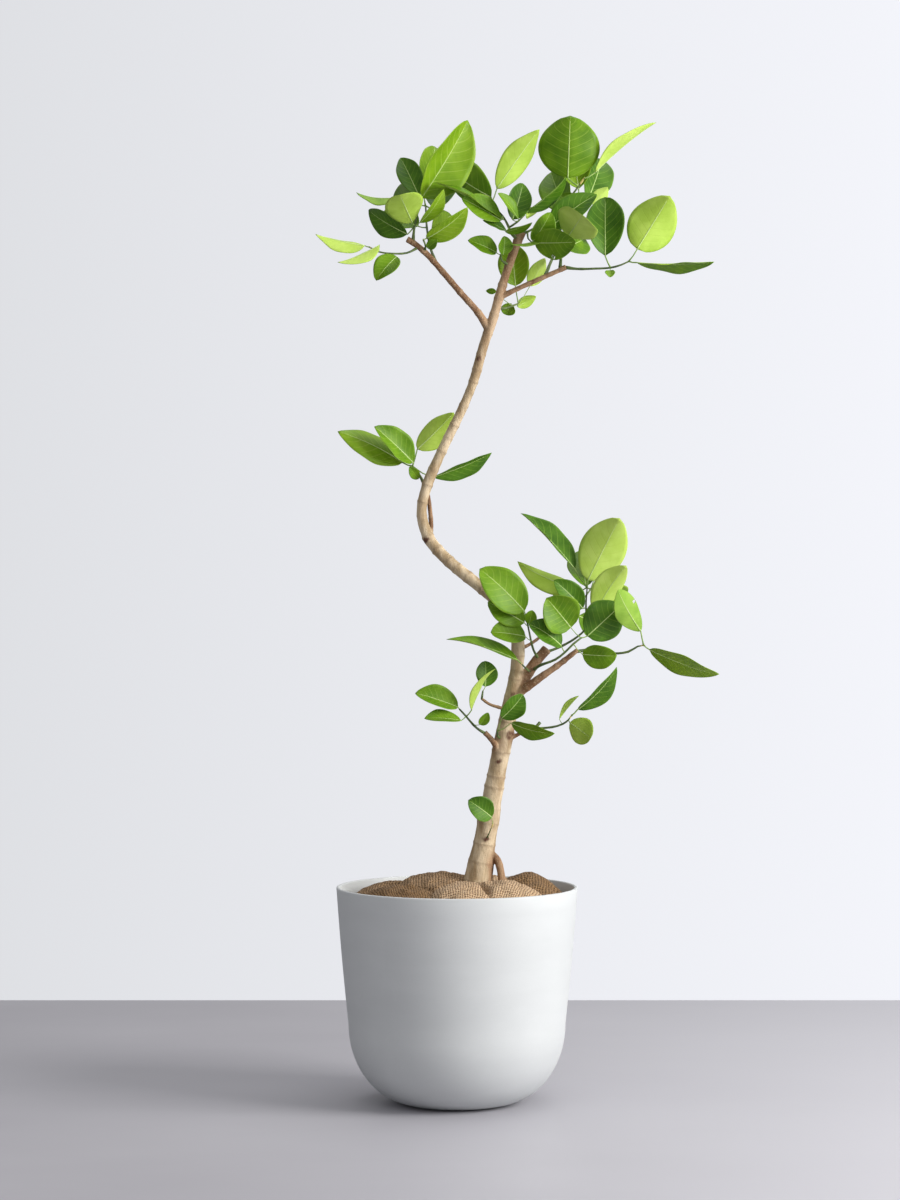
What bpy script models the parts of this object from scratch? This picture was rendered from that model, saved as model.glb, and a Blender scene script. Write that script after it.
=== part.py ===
# A council tree with a curved trunk in a round-bottomed planter, stuffed with hessian.
# Metres, +Z up. The origin is the centre of the planter's flat underside, the front is -Y.
# Limbs and leaves are given as they are seen from the front: x and z in centimetres in the
# upright plane through the planter's axis, and a depth y away from the viewer.
import math
import random

import bmesh
import bpy
from mathutils import Matrix, Vector
from mathutils.bvhtree import BVHTree

CM = 0.01
GAP = 0.0003                          # what touching pieces keep between them
EYE = Vector((-0.0116, -4.7, 0.832))  # where the front view is taken from

RIM_RADIUS = 0.200                    # planter
RIM_HEIGHT = 0.355
WALL = 0.006
SHOULDER_RADIUS = 0.180
SHOULDER_HEIGHT = 0.130
FOOT_RADIUS = 0.075
FLOOR_THICKNESS = 0.012
WALL_ROWS = 5
SHOULDER_ROWS = 8
SOIL_TOP = 0.3250
HESSIAN_RADIUS = 0.1905
SEED = 7

# Each limb: way points (x, z, depth, diameter) in centimetres.
TRUNK = [(2.9, 30.5, 0.0, 6.2), (3.1, 34.0, 0.0, 5.2), (4.5, 42.5, -0.4, 3.8), (6.5, 54.0, -1.0, 3.1),
         (8.2, 62.5, -1.6, 2.8), (9.8, 71.0, -2.2, 2.25), (10.1, 76.0, -2.3, 2.1), (9.3, 79.6, -2.0, 2.0),
         (7.0, 82.7, -1.2, 2.0), (3.6, 85.6, 0.0, 2.0), (-1.3, 89.6, 1.6, 1.95), (-4.5, 93.2, 2.5, 1.9),
         (-5.85, 97.5, 2.8, 1.8), (-5.1, 101.8, 2.6, 1.75), (-2.9, 107.1, 2.1, 1.65), (2.2, 118.0, 1.3, 1.5),
         (4.6, 126.0, 1.0, 1.6), (6.0, 130.0, 1.0, 1.6), (7.9, 136.6, 1.1, 1.45), (9.7, 141.8, 1.3, 1.5),
         (10.7, 144.3, 1.3, 1.75)]
LOWER_BEND = 6                        # the way points where the trunk is split
LEFT_BEND = 12

BOUGHS = {
    "prop_root": ("trunk_lower", [(5.0, 41.6, -0.4, 1.2), (6.6, 40.2, -1.0, 1.25), (7.25, 38.2, -1.2, 1.3),
                                  (7.5, 35.6, -1.2, 1.5), (7.6, 31.5, -1.2, 1.6)]),
    "spur_low_right": ("trunk_lower", [(8.0, 59.8, -1.5, 0.85), (9.6, 60.6, -1.7, 0.66), (11.2, 61.4, -2.0, 0.55),
                                       (12.6, 61.9, -2.3, 0.48)]),
    "bough_low_left": ("trunk_lower", [(7.2, 57.2, -1.3, 1.1), (6.4, 59.0, -2.5, 0.98), (5.6, 60.2, -2.9, 0.9),
                                       (4.6, 61.2, -3.1, 0.85)]),
    "twig_left": ("trunk_lower", [(8.7, 64.9, -1.8, 0.62), (6.9, 65.4, -3.0, 0.55), (5.4, 65.9, -3.2, 0.52),
                                  (4.0, 66.9, -3.4, 0.48)]),
    "bough_low_stub": ("trunk_lower", [(9.4, 67.4, -2.0, 2.05), (11.2, 70.2, -1.7, 1.85), (13.1, 73.0, -1.3, 1.72),
                                       (14.95, 75.1, -1.0, 1.7)]),
    "bough_low_right": ("trunk_lower", [(9.9, 67.6, -2.2, 1.7), (12.4, 69.3, -3.3, 1.35), (14.5, 70.8, -3.7, 1.15),
                                        (16.8, 72.4, -4.0, 1.0), (18.5, 73.7, -4.2, 0.9), (20.0, 74.9, -4.4, 0.8)]),
    "bough_low_behind": ("trunk_lower", [(10.1, 75.0, -2.3, 0.75), (11.8, 75.7, -0.6, 0.6), (13.2, 76.6, 0.6, 0.52),
                                         (16.7, 79.2, 2.2, 0.42)]),
    "bough_mid": ("trunk_middle", [(-4.5, 93.2, 2.5, 0.95), (-4.3, 95.6, 4.2, 0.85), (-4.5, 98.3, 4.8, 0.75),
                                   (-4.9, 101.0, 4.9, 0.65), (-5.9, 103.3, 4.5, 0.55)]),
    "bough_top_left": ("trunk_upper", [(5.1, 128.4, 1.0, 1.45), (3.5, 130.9, 0.6, 1.15), (0.5, 134.3, -0.4, 1.08),
                                       (-2.4, 137.7, -1.2, 1.0), (-5.0, 140.6, -1.8, 1.0), (-7.0, 142.3, -2.3, 0.98),
                                       (-8.3, 143.1, -2.5, 1.1)]),
    "bough_top_right": ("trunk_upper", [(7.1, 133.4, 1.0, 1.0), (9.5, 134.6, 0.7, 0.85), (13.3, 136.3, 0.0, 0.82),
                                        (16.7, 137.8, -0.6, 0.78), (18.1, 138.45, -0.9, 1.0)]),
}

# Each mass of leaves: the limb it grows from, its twigs (the first is its stem), and its leaves.
# A leaf: foot (x, z, depth), tip (x, z, depth), width, turn in degrees about its length,
# and 1 where the upper side faces the front or -1 where the underside does.
MASSES = {
    "leaves_top_left": ("bough_top_left", [
        [(-7.3, 142.4, -2.3, 0.6), (-7.2, 144.0, -2.6, 0.45), (-7.0, 145.4, -2.4, 0.36), (-6.5, 147.5, -1.6, 0.3),
         (-6.1, 149.0, -1.2, 0.26)]], [
        (-5.9, 149.9, -1.0, 1.9, 162.8, -1.0, 9.6, 34, 1), (-6.3, 150.2, 1.2, -9.4, 156.7, 4.5, 4.5, 10, 1),
        (-8.1, 150.3, -0.5, -16.7, 150.6, 0.5, 5.0, 80, -1), (-7.4, 145.8, -3.5, -9.5, 150.5, -13.0, 7.2, 0, -1),
        (-8.2, 143.9, -2.2, -14.8, 147.9, 1.0, 4.8, -25, 1), (-6.2, 145.8, -3.0, -2.1, 151.3, -4.5, 3.4, 50, 1)]),
    "leaves_bough_left": ("bough_top_left", [
        [(-5.5, 140.9, -1.9, 0.42), (-5.2, 141.9, -2.8, 0.32), (-5.6, 143.0, -3.4, 0.26)]], [
        (-5.1, 143.2, -3.4, 1.8, 148.3, -6.0, 5.2, 40, 1), (-4.9, 141.6, -3.0, -3.3, 143.0, -4.2, 1.7, 0, 1)]),
    "leaves_far_left": ("bough_top_left", [
        [(-6.3, 141.8, -2.1, 0.45), (-8.3, 140.8, -2.9, 0.34), (-10.8, 140.7, -3.4, 0.3), (-13.0, 141.0, -3.8, 0.28),
         (-14.6, 141.8, -4.0, 0.24)]], [
        (-15.3, 142.0, -4.2, -23.5, 143.9, -6.0, 4.4, 58, -1), (-12.9, 142.1, -5.0, -19.8, 139.2, -8.0, 4.0, 66, -1),
        (-10.0, 140.2, -3.7, -13.4, 136.3, -6.5, 4.4, 25, 1)]),
    "leaves_top_crown": ("trunk_upper", [
        [(10.2, 143.0, 1.3, 0.6), (9.0, 144.0, 0.3, 0.45), (8.5, 145.3, 0.0, 0.4), (7.6, 146.9, -0.2, 0.34),
         (6.4, 148.2, -0.1, 0.3), (5.8, 149.3, 0.2, 0.24)],
        [(8.6, 145.0, 0.0, 0.36), (10.1, 146.0, 0.4, 0.3), (11.2, 147.1, 0.7, 0.22)]], [
        (5.7, 150.0, 1.5, -1.9, 155.3, 8.5, 7.6, -25, 1), (6.6, 151.4, 2.2, 13.6, 161.3, 4.5, 5.2, 15, -1),
        (7.7, 146.3, -1.2, -3.6, 152.8, -3.0, 5.4, 78, 1), (7.3, 146.2, -1.6, 0.8, 149.9, -4.4, 4.6, 35, 1),
        (9.2, 146.3, -0.4, 11.0, 152.4, 1.0, 4.8, 15, 1), (10.2, 146.4, -1.4, 6.9, 150.8, -3.8, 3.0, 60, 1),
        (11.4, 147.6, 0.6, 18.2, 153.2, -1.6, 4.8, 68, 1), (8.2, 144.5, -1.4, 4.3, 146.2, -3.5, 2.4, 55, 1),
        (11.5, 146.9, 1.0, 13.4, 147.7, 2.6, 2.2, 40, -1), (8.0, 144.3, -2.0, 12.5, 145.8, -3.2, 2.6, 58, 1)]),
    "leaves_left_fork": ("trunk_upper", [
        [(8.6, 138.8, 1.1, 0.5), (7.4, 139.6, -0.4, 0.36), (7.2, 140.5, -0.9, 0.26)]], [
        (6.6, 140.8, -1.0, 1.8, 142.9, -2.2, 3.6, 30, 1), (7.7, 140.5, -1.4, 7.9, 143.6, -2.2, 3.0, 30, 1)]),
    "leaves_behind_fork": ("trunk_upper", [
        [(6.6, 131.8, 1.0, 0.5), (7.9, 131.6, 2.4, 0.4), (9.2, 132.0, 3.0, 0.32), (10.2, 132.4, 3.2, 0.26)]], [
        (9.7, 135.3, 3.9, 9.1, 142.3, 4.4, 5.6, 0, 1), (12.1, 135.3, 4.0, 14.6, 139.9, 5.4, 3.0, 0, -1),
        (9.0, 132.4, 4.2, 8.1, 130.5, 5.2, 2.6, 0, 1), (10.0, 131.9, 3.8, 13.1, 133.6, 5.0, 2.2, 0, -1),
        (6.5, 134.4, 3.0, 4.8, 134.5, 2.6, 1.1, 0, 1)]),
    "leaves_top_inner": ("trunk_upper", [
        [(10.6, 143.9, 1.3, 0.55), (11.9, 144.4, 1.2, 0.4), (13.2, 145.0, 1.6, 0.3), (14.6, 144.8, 2.0, 0.22)],
        [(11.7, 144.3, 1.2, 0.3), (11.8, 143.2, 0.2, 0.26), (12.4, 142.6, -0.6, 0.2)]], [
        (15.2, 144.8, 2.0, 23.2, 150.6, 1.4, 5.4, -20, 1), (12.6, 142.7, -0.8, 15.6, 147.5, -2.4, 4.4, 30, 1),
        (12.9, 142.5, -1.2, 19.7, 142.6, -5.0, 5.6, 20, 1), (16.0, 143.6, 0.2, 8.9, 142.0, -3.0, 2.6, 82, -1)]),
    "leaves_top_right": ("bough_top_right", [
        [(17.1, 138.0, -0.7, 0.6), (17.3, 140.4, 0.6, 0.45), (17.9, 143.3, 3.2, 0.42), (18.5, 147.0, 5.0, 0.38),
         (18.3, 149.8, 5.0, 0.34), (19.3, 150.7, 4.8, 0.3), (20.2, 151.9, 4.6, 0.34), (21.0, 153.1, 4.4, 0.14)]], [
        (18.4, 153.2, 4.4, 18.8, 163.6, 3.4, 11.6, 0, 1), (22.9, 154.1, 5.0, 33.0, 162.5, 6.5, 6.0, 76, -1),
        (22.6, 148.8, 6.0, 25.0, 151.7, 7.4, 2.6, 0, -1), (18.9, 147.6, 6.2, 17.2, 150.4, 7.8, 4.2, 0, 1),
        (18.4, 143.5, -1.6, 20.9, 147.1, -11.0, 8.4, 0, -1)]),
    "leaves_right_tip": ("bough_top_right", [
        [(17.9, 138.4, -0.9, 0.6), (20.0, 138.15, -1.3, 0.42), (23.0, 138.2, -1.7, 0.36), (25.5, 138.35, -1.9, 0.34),
         (27.2, 138.8, -2.1, 0.3), (28.5, 139.4, -2.2, 0.25)]], [
        (24.6, 140.3, -1.7, 24.6, 150.2, 1.6, 7.2, 0, 1), (29.9, 141.4, -2.6, 35.3, 150.2, -1.5, 8.6, 0, -1),
        (29.8, 139.2, -2.9, 42.7, 139.3, -5.0, 6.0, 76, 1), (25.4, 137.9, -2.5, 25.4, 136.8, -3.8, 1.8, 0, 1)]),
    "leaves_mid": ("bough_mid", [
        [(-5.6, 102.8, 4.55, 0.5), (-6.6, 104.5, 3.6, 0.36), (-7.4, 105.4, 3.0, 0.28)]], [
        (-9.0, 106.0, 2.6, -19.8, 111.2, 0.0, 6.2, 38, 1), (-7.3, 106.0, 2.2, -13.7, 112.0, -1.5, 5.6, 35, 1),
        (-6.6, 108.2, 4.6, -0.5, 114.3, 5.4, 5.2, -20, -1), (-6.4, 103.3, 3.4, -7.9, 105.3, 1.6, 1.8, 0, 1),
        (-4.0, 103.6, 5.4, 5.8, 107.6, 6.4, 4.2, 48, 1)]),
    "leaves_low_front": ("bough_low_stub", [
        [(12.7, 71.6, -1.5, 0.6), (13.9, 72.4, -4.4, 0.45), (16.3, 73.3, -5.4, 0.4), (17.9, 74.5, -5.6, 0.36),
         (19.3, 75.9, -5.6, 0.33), (20.6, 76.9, -5.4, 0.3)]], [
        (17.3, 75.6, -6.0, 12.0, 79.3, -8.5, 5.0, 35, 1), (18.9, 78.6, -6.2, 14.9, 83.5, -9.0, 7.2, 10, 1),
        (21.6, 77.2, -5.2, 27.2, 82.4, -4.0, 7.2, 15, 1), (20.8, 74.2, -6.2, 26.5, 73.9, -7.8, 4.6, 25, 1)]),
    "leaves_low_tall": ("bough_low_stub", [
        [(14.6, 74.5, -1.0, 0.5), (16.6, 75.2, 0.0, 0.42), (18.8, 76.3, 0.2, 0.38), (20.6, 77.6, 0.2, 0.34),
         (22.1, 79.2, 0.0, 0.3)],
        [(21.6, 78.6, 0.1, 0.32), (21.4, 82.0, 0.3, 0.28), (21.6, 85.3, 0.3, 0.24)]], [
        (19.6, 88.3, 1.2, 10.7, 97.7, 3.2, 6.0, 60, 1), (21.7, 86.4, 0.2, 27.0, 96.8, -1.2, 8.4, 5, -1),
        (22.9, 80.9, -1.0, 28.1, 88.9, -4.0, 5.6, 30, -1), (20.4, 84.8, 2.0, 10.0, 89.4, 4.5, 5.0, 40, -1),
        (20.9, 81.8, -0.8, 16.1, 86.5, -2.8, 4.6, 20, 1)]),
    "leaves_low_right": ("bough_low_right", [
        [(19.6, 74.6, -4.35, 0.55), (22.6, 75.0, -3.4, 0.45), (25.8, 74.35, -3.8, 0.42), (28.4, 74.6, -4.4, 0.38),
         (30.0, 75.5, -4.8, 0.3), (31.0, 75.7, -5.0, 0.14)]], [
        (30.5, 78.0, -5.2, 26.7, 84.9, -10.5, 5.0, 20, -1), (31.9, 75.0, -5.0, 43.4, 70.6, -7.5, 6.0, 55, 1)]),
    "leaves_low_centre": ("bough_low_stub", [
        [(13.6, 73.3, -1.3, 0.5), (12.7, 74.9, -3.3, 0.36), (12.3, 76.4, -3.9, 0.32), (11.8, 78.8, -4.4, 0.28),
         (11.4, 80.6, -4.9, 0.24)]], [
        (11.2, 81.3, -5.4, 3.8, 88.4, -7.0, 7.4, 20, 1), (11.2, 79.4, -5.2, 5.1, 82.9, -5.4, 4.6, 10, 1),
        (12.0, 79.2, -4.6, 12.5, 81.5, -5.0, 2.2, 0, 1), (11.4, 77.1, -5.2, 5.6, 77.9, -7.0, 4.8, 35, 1)]),
    "leaf_long": ("bough_low_stub", [
        [(12.2, 71.3, -1.6, 0.4), (11.6, 71.7, -4.4, 0.3), (10.5, 72.8, -6.2, 0.24)]], [
        (10.1, 73.2, -6.6, -1.7, 76.8, -7.4, 4.6, 64, 1)]),
    "leaves_low_left": ("bough_low_left", [
        [(4.8, 61.0, -3.0, 0.5), (3.6, 61.7, -3.6, 0.4), (2.7, 62.5, -3.8, 0.36), (1.5, 63.9, -4.0, 0.32),
         (0.4, 65.1, -4.2, 0.28)]], [
        (0.2, 65.4, -4.3, -6.9, 67.8, -6.0, 4.8, 35, 1), (0.7, 63.2, -4.8, -5.4, 63.6, -6.8, 3.4, 52, 1),
        (2.4, 64.9, -4.8, 6.2, 71.9, -7.0, 3.2, 66, -1), (3.8, 62.5, -4.6, 5.2, 64.5, -5.4, 1.9, 20, 1)]),
    "leaf_twig_left": ("twig_left", [
        [(4.1, 66.75, -3.4, 0.36), (4.3, 68.1, -3.5, 0.26)]], [
        (4.7, 68.8, -3.6, 4.7, 73.1, -3.0, 4.0, 20, 1)]),
    "leaves_trunk_front": ("trunk_lower", [
        [(7.6, 60.2, -1.4, 0.5), (6.7, 60.6, -3.7, 0.38), (6.7, 61.4, -4.4, 0.3)]], [
        (7.4, 63.6, -5.2, 11.0, 67.5, -5.8, 4.2, 30, 1), (9.0, 62.8, -5.4, 16.2, 61.0, -7.0, 3.8, 45, 1)]),
    "leaves_low_small": ("spur_low_right", [
        [(12.4, 61.85, -2.28, 0.42), (15.8, 62.1, -2.8, 0.36), (17.5, 62.6, -3.0, 0.34), (18.5, 63.3, -3.2, 0.3),
         (19.0, 64.0, -3.3, 0.14)],
        [(12.9, 61.9, -2.4, 0.4), (13.8, 62.9, -2.6, 0.55)]], [
        (20.0, 65.0, -3.6, 26.6, 72.0, -5.0, 4.8, 50, 1), (17.0, 63.4, -2.6, 20.2, 67.3, -1.0, 2.8, 72, -1),
        (18.7, 62.9, -3.8, 22.3, 60.2, -8.0, 4.6, 10, -1)]),
    "leaf_on_foot": ("trunk_lower", [
        [(4.8, 43.2, -0.6, 0.75), (5.15, 44.1, -2.9, 0.6), (5.5, 44.9, -3.3, 0.42), (5.95, 46.0, -3.6, 0.25)]], [
        (5.8, 47.1, -3.9, 1.9, 50.0, -5.2, 4.4, 15, 1)]),
    # Behind, the front view hides the crown, which is taken to be as full as it is in front.
    "leaves_back_left": ("bough_top_left", [
        [(-3.2, 138.6, -1.4, 0.55), (-4.4, 141.6, 3.0, 0.42), (-5.0, 145.0, 6.5, 0.36), (-5.2, 148.6, 9.0, 0.28)]], [
        (-5.6, 151.0, 10.0, -3.6, 158.6, 15.0, 6.0, 20, 1), (-6.6, 149.0, 9.4, -10.8, 149.4, 19.0, 6.4, 10, 1),
        (-3.6, 148.0, 9.0, -1.6, 153.4, 18.0, 6.0, -20, 1), (-6.4, 145.2, 7.0, -12.4, 147.6, 11.5, 5.6, 30, 1),
        (-4.2, 143.2, 6.6, -1.0, 147.2, 13.5, 5.2, 10, 1)]),
    "leaves_back_right": ("bough_top_right", [
        [(14.6, 136.9, -0.2, 0.6), (15.8, 139.8, 5.2, 0.45), (18.0, 144.4, 9.6, 0.38), (20.2, 149.0, 12.6, 0.28)]], [
        (20.2, 151.4, 13.4, 18.6, 161.4, 16.5, 7.2, 0, 1), (21.6, 149.4, 13.6, 24.0, 156.6, 20.0, 6.0, 20, 1),
        (18.4, 147.2, 12.4, 15.6, 154.2, 19.0, 6.2, -15, 1), (19.8, 145.0, 11.2, 26.2, 147.0, 18.5, 6.2, 20, 1),
        (16.6, 142.6, 9.4, 14.2, 146.0, 18.0, 5.6, 10, 1), (18.0, 141.6, 8.6, 21.4, 143.4, 16.5, 5.2, 10, 1)]),
    "leaves_back_low": ("bough_low_behind", [
        [(16.4, 79.0, 2.1, 0.4), (18.2, 80.4, 5.0, 0.36), (20.4, 82.6, 7.4, 0.3), (22.2, 85.0, 9.0, 0.25)]], [
        (22.8, 87.0, 9.6, 25.4, 94.6, 14.0, 6.4, 10, 1), (21.4, 85.4, 9.4, 20.6, 91.6, 16.5, 6.0, 0, 1),
        (23.4, 84.8, 9.6, 28.0, 83.6, 16.0, 5.6, 20, 1), (19.2, 82.2, 7.2, 16.0, 82.6, 16.0, 5.6, 0, 1),
        (20.2, 80.6, 6.8, 24.0, 79.0, 14.0, 5.6, 10, 1)]),
}

for old in list(bpy.data.objects):
    bpy.data.objects.remove(old, do_unlink=True)
PARTS = bpy.data.collections.new("potted_council_tree")
CUTTERS = bpy.data.collections.new("cutters")
for group in (PARTS, CUTTERS):
    bpy.context.scene.collection.children.link(group)


def seen(x, z, depth=0.0):
    """The point that the front view shows at (x, z), moved along its sight line to this depth."""
    flat = Vector((x * CM, 0.0, z * CM))
    return EYE + (flat - EYE) * ((depth * CM - EYE.y) / -EYE.y)


def material(name, colour, roughness, metallic=0.0):
    found = bpy.data.materials.get(name)
    if found:
        return found
    made = bpy.data.materials.new(name)
    made.use_nodes = True
    shader = made.node_tree.nodes["Principled BSDF"]
    shader.inputs["Base Color"].default_value = (*colour, 1.0)
    shader.inputs["Roughness"].default_value = roughness
    shader.inputs["Metallic"].default_value = metallic
    return made


PLANTER = material("planter", (0.62, 0.62, 0.62), 0.6)
SOIL = material("soil", (0.06, 0.04, 0.03), 0.95)
HESSIAN = material("hessian", (0.50, 0.36, 0.23), 0.95)
BARK = material("bark", (0.38, 0.27, 0.17), 0.85)
LEAF = material("leaf", (0.16, 0.32, 0.03), 0.45)


def link(name, mesh, finish, group=PARTS):
    made = bpy.data.objects.new(name, mesh)
    group.objects.link(made)
    if finish:
        mesh.materials.clear()
        mesh.materials.append(finish)
    return made


def hide_as_cutter(cutter):
    cutter.hide_render = True
    cutter.display_type = "WIRE"
    return cutter


def baked(owner, weld=0.00002):
    """The object's evaluated mesh, with a curve's caps welded on."""
    graph = bpy.context.evaluated_depsgraph_get()
    mesh = bpy.data.meshes.new_from_object(owner.evaluated_get(graph))
    work = bmesh.new()
    work.from_mesh(mesh)
    work.transform(owner.matrix_world)
    bmesh.ops.remove_doubles(work, verts=work.verts, dist=weld)
    bmesh.ops.recalc_face_normals(work, faces=work.faces)
    work.to_mesh(mesh)
    work.free()
    return mesh


def smooth_path(points, step=0.012):
    """Points (place, radius) along a smooth curve through the way points, about a step apart."""
    knots = [(seen(x, z, y), size * CM / 2) for x, z, y, size in points]
    first, last = knots[0], knots[-1]
    ring = [(first[0] * 2 - knots[1][0], first[1])] + knots + [(last[0] * 2 - knots[-2][0], last[1])]
    path = []
    for before, start, end, after in zip(ring, ring[1:], ring[2:], ring[3:]):
        span = (end[0] - start[0]).length
        count = max(1, round(span / step))
        pull_in = (end[0] - before[0]) * (span / ((end[0] - start[0]).length + (start[0] - before[0]).length))
        pull_out = (after[0] - start[0]) * (span / ((after[0] - end[0]).length + (end[0] - start[0]).length))
        for index in range(count):
            t = index / count
            place = (start[0] * (2 * t**3 - 3 * t**2 + 1) + pull_in * (t**3 - 2 * t**2 + t)
                     + end[0] * (3 * t**2 - 2 * t**3) + pull_out * (t**3 - t**2))
            path.append((place, start[1] + (end[1] - start[1]) * t))
    return path + [last]


def tube(name, path, finish, group=PARTS, roundness=2, grow=0.0):
    """A closed tapering tube along a path; roundness 0, 1, 2, 3 gives 4, 6, 8, 10 sides."""
    curve = bpy.data.curves.new(name, "CURVE")
    curve.dimensions = "3D"
    curve.bevel_depth = 1.0
    curve.bevel_resolution = roundness
    curve.use_fill_caps = True
    spline = curve.splines.new("POLY")
    spline.points.add(len(path) - 1)
    for point, (place, radius) in zip(spline.points, path):
        point.co = (*place, 1.0)
        point.radius = radius + grow
    rod = bpy.data.objects.new(name + "_curve", curve)
    group.objects.link(rod)
    bpy.context.view_layer.update()
    mesh = baked(rod)
    bpy.data.objects.remove(rod, do_unlink=True)
    return link(name, mesh, finish, group)


def boolean(target, operation, cutter, solver="EXACT"):
    """One Boolean, applied; the cutter is an object or a collection."""
    step = target.modifiers.new(operation.lower(), "BOOLEAN")
    step.operation = operation
    step.solver = solver
    if isinstance(cutter, bpy.types.Collection):
        step.operand_type = "COLLECTION"
        step.collection = cutter
    else:
        step.object = cutter
    bpy.context.view_layer.update()
    mesh = baked(target, 0.000001)
    target.modifiers.clear()
    target.data = mesh


def keep_largest(target, weld=0.000002):
    """Merges slivers and drops loose scraps, so that the node is one body."""
    work = bmesh.new()
    work.from_mesh(target.data)
    bmesh.ops.remove_doubles(work, verts=work.verts, dist=weld)
    bmesh.ops.dissolve_degenerate(work, edges=work.edges, dist=weld)
    bmesh.ops.triangulate(work, faces=work.faces)
    bmesh.ops.remove_doubles(work, verts=work.verts, dist=weld)
    left = set(work.faces)
    bodies = []
    while left:
        front = [left.pop()]
        body = list(front)
        while front:
            beside = {face for edge in front.pop().edges for face in edge.link_faces if face in left}
            left -= beside
            front.extend(beside)
            body.extend(beside)
        bodies.append(body)
    bodies.sort(key=len)
    for body in bodies[:-1]:
        bmesh.ops.delete(work, geom=body, context="FACES")
    loose = [vert for vert in work.verts if not vert.link_faces]
    bmesh.ops.delete(work, geom=loose, context="VERTS")
    work.to_mesh(target.data)
    work.free()
    return len(bodies) - 1


def is_closed(mesh):
    work = bmesh.new()
    work.from_mesh(mesh)
    whole = all(len(edge.link_faces) == 2 for edge in work.edges)
    work.free()
    return whole


def turned(name, profile, finish, steps=48):
    """A solid of revolution: the profile (radius, height) runs from the axis down its outer side to the axis."""
    mesh = bpy.data.meshes.new(name)
    work = bmesh.new()
    chain = [work.verts.new((radius, 0.0, height)) for radius, height in profile]
    for start, end in zip(chain, chain[1:]):
        work.edges.new((start, end))
    bmesh.ops.spin(work, geom=work.verts[:] + work.edges[:], cent=(0, 0, 0), axis=(0, 0, 1),
                   angle=math.tau, steps=steps, use_merge=True)
    bmesh.ops.remove_doubles(work, verts=work.verts, dist=0.00005)
    bmesh.ops.recalc_face_normals(work, faces=work.faces)
    work.to_mesh(mesh)
    work.free()
    made = link(name, mesh, finish)
    mesh.shade_smooth()
    return made


def wall_profile(inset):
    """The planter's side from rim to foot: a near-straight wall on an elliptic shoulder."""
    rows = []
    for index in range(WALL_ROWS):
        s = 1 - index / (WALL_ROWS - 1)
        radius = SHOULDER_RADIUS + (RIM_RADIUS - SHOULDER_RADIUS) * s + 0.0012 * math.sin(math.pi * s)
        rows.append((radius - inset, SHOULDER_HEIGHT + (RIM_HEIGHT - SHOULDER_HEIGHT) * s))
    reach = SHOULDER_RADIUS - FOOT_RADIUS
    for index in range(1, SHOULDER_ROWS):
        angle = math.pi / 2 * index / (SHOULDER_ROWS - 1)
        rows.append((FOOT_RADIUS + (reach - inset) * math.cos(angle),
                     SHOULDER_HEIGHT - (SHOULDER_HEIGHT - inset) * math.sin(angle)))
    return rows


def make_planter():
    outer = wall_profile(0.0)
    inner = [(r, max(z, FLOOR_THICKNESS)) for r, z in wall_profile(WALL)]
    lip_middle = (RIM_RADIUS - WALL / 2, RIM_HEIGHT + 0.0018)
    profile = [(0.0, 0.0)] + outer[::-1] + [lip_middle] + inner + [(0.0, FLOOR_THICKNESS)]
    return turned("planter", profile, PLANTER, 36)


def make_soil():
    side = [(r, max(z, FLOOR_THICKNESS + GAP)) for r, z in wall_profile(WALL + GAP) if z < SOIL_TOP]
    top_radius = SHOULDER_RADIUS + (RIM_RADIUS - SHOULDER_RADIUS) * (
        (SOIL_TOP - SHOULDER_HEIGHT) / (RIM_HEIGHT - SHOULDER_HEIGHT)) - WALL - GAP
    profile = [(0.0, SOIL_TOP), (top_radius, SOIL_TOP)] + side + [(0.0, FLOOR_THICKNESS + GAP)]
    return turned("soil", profile, SOIL, 36)


# The stuffed hessian's puffs: (x, y) of the middle, how far it spreads, how high it stands over the hem.
PUFFS = [(-0.095, -0.050, 0.075, 0.030), (-0.020, 0.090, 0.080, 0.034), (0.040, -0.075, 0.085, 0.034),
         (0.125, 0.020, 0.070, 0.038), (-0.120, 0.080, 0.070, 0.024), (0.060, 0.120, 0.070, 0.026)]
HEM_HEIGHT = 0.008


def hessian_height(x, y):
    """How high the cloth stands above the soil: the highest puff, falling to the hem at the wall."""
    radius = math.hypot(x, y)
    fall = max(0.0, 1 - (radius / HESSIAN_RADIUS) ** 4)
    puff = max(high * math.exp(-((x - a) ** 2 + (y - b) ** 2) / (2 * (0.62 * spread) ** 2))
               for a, b, spread, high in PUFFS)
    return HEM_HEIGHT + fall * (0.014 + puff)


def make_hessian():
    profile = [(HESSIAN_RADIUS * part, SOIL_TOP + GAP + HEM_HEIGHT) for part in
               (0.0, 0.16, 0.32, 0.48, 0.64, 0.78, 0.90, 1.0)]
    bottom = [(HESSIAN_RADIUS, SOIL_TOP + GAP), (0.0, SOIL_TOP + GAP)]
    made = turned("hessian", profile + bottom, HESSIAN, 36)
    for vert in made.data.vertices:
        if vert.co.z > SOIL_TOP + GAP + HEM_HEIGHT / 2:
            vert.co.z = SOIL_TOP + GAP + hessian_height(vert.co.x, vert.co.y)
    return made

LIMBS = []
SLEEVES = {}


def level_cuts(target, low=None, high=None):
    """Level cuts that take off what lies below low and above high, each closed with a flat face."""
    work = bmesh.new()
    work.from_mesh(target.data)
    for height, below in ((low, True), (high, False)):
        if height is None:
            continue
        cut = bmesh.ops.bisect_plane(work, geom=work.verts[:] + work.edges[:] + work.faces[:], dist=0.000001,
                                     plane_co=(0, 0, height), plane_no=(0, 0, 1),
                                     clear_inner=below, clear_outer=not below)
        rim = [item for item in cut["geom_cut"] if isinstance(item, bmesh.types.BMEdge)]
        bmesh.ops.edgeloop_fill(work, edges=rim)
    bmesh.ops.recalc_face_normals(work, faces=work.faces)
    work.to_mesh(target.data)
    work.free()


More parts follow.
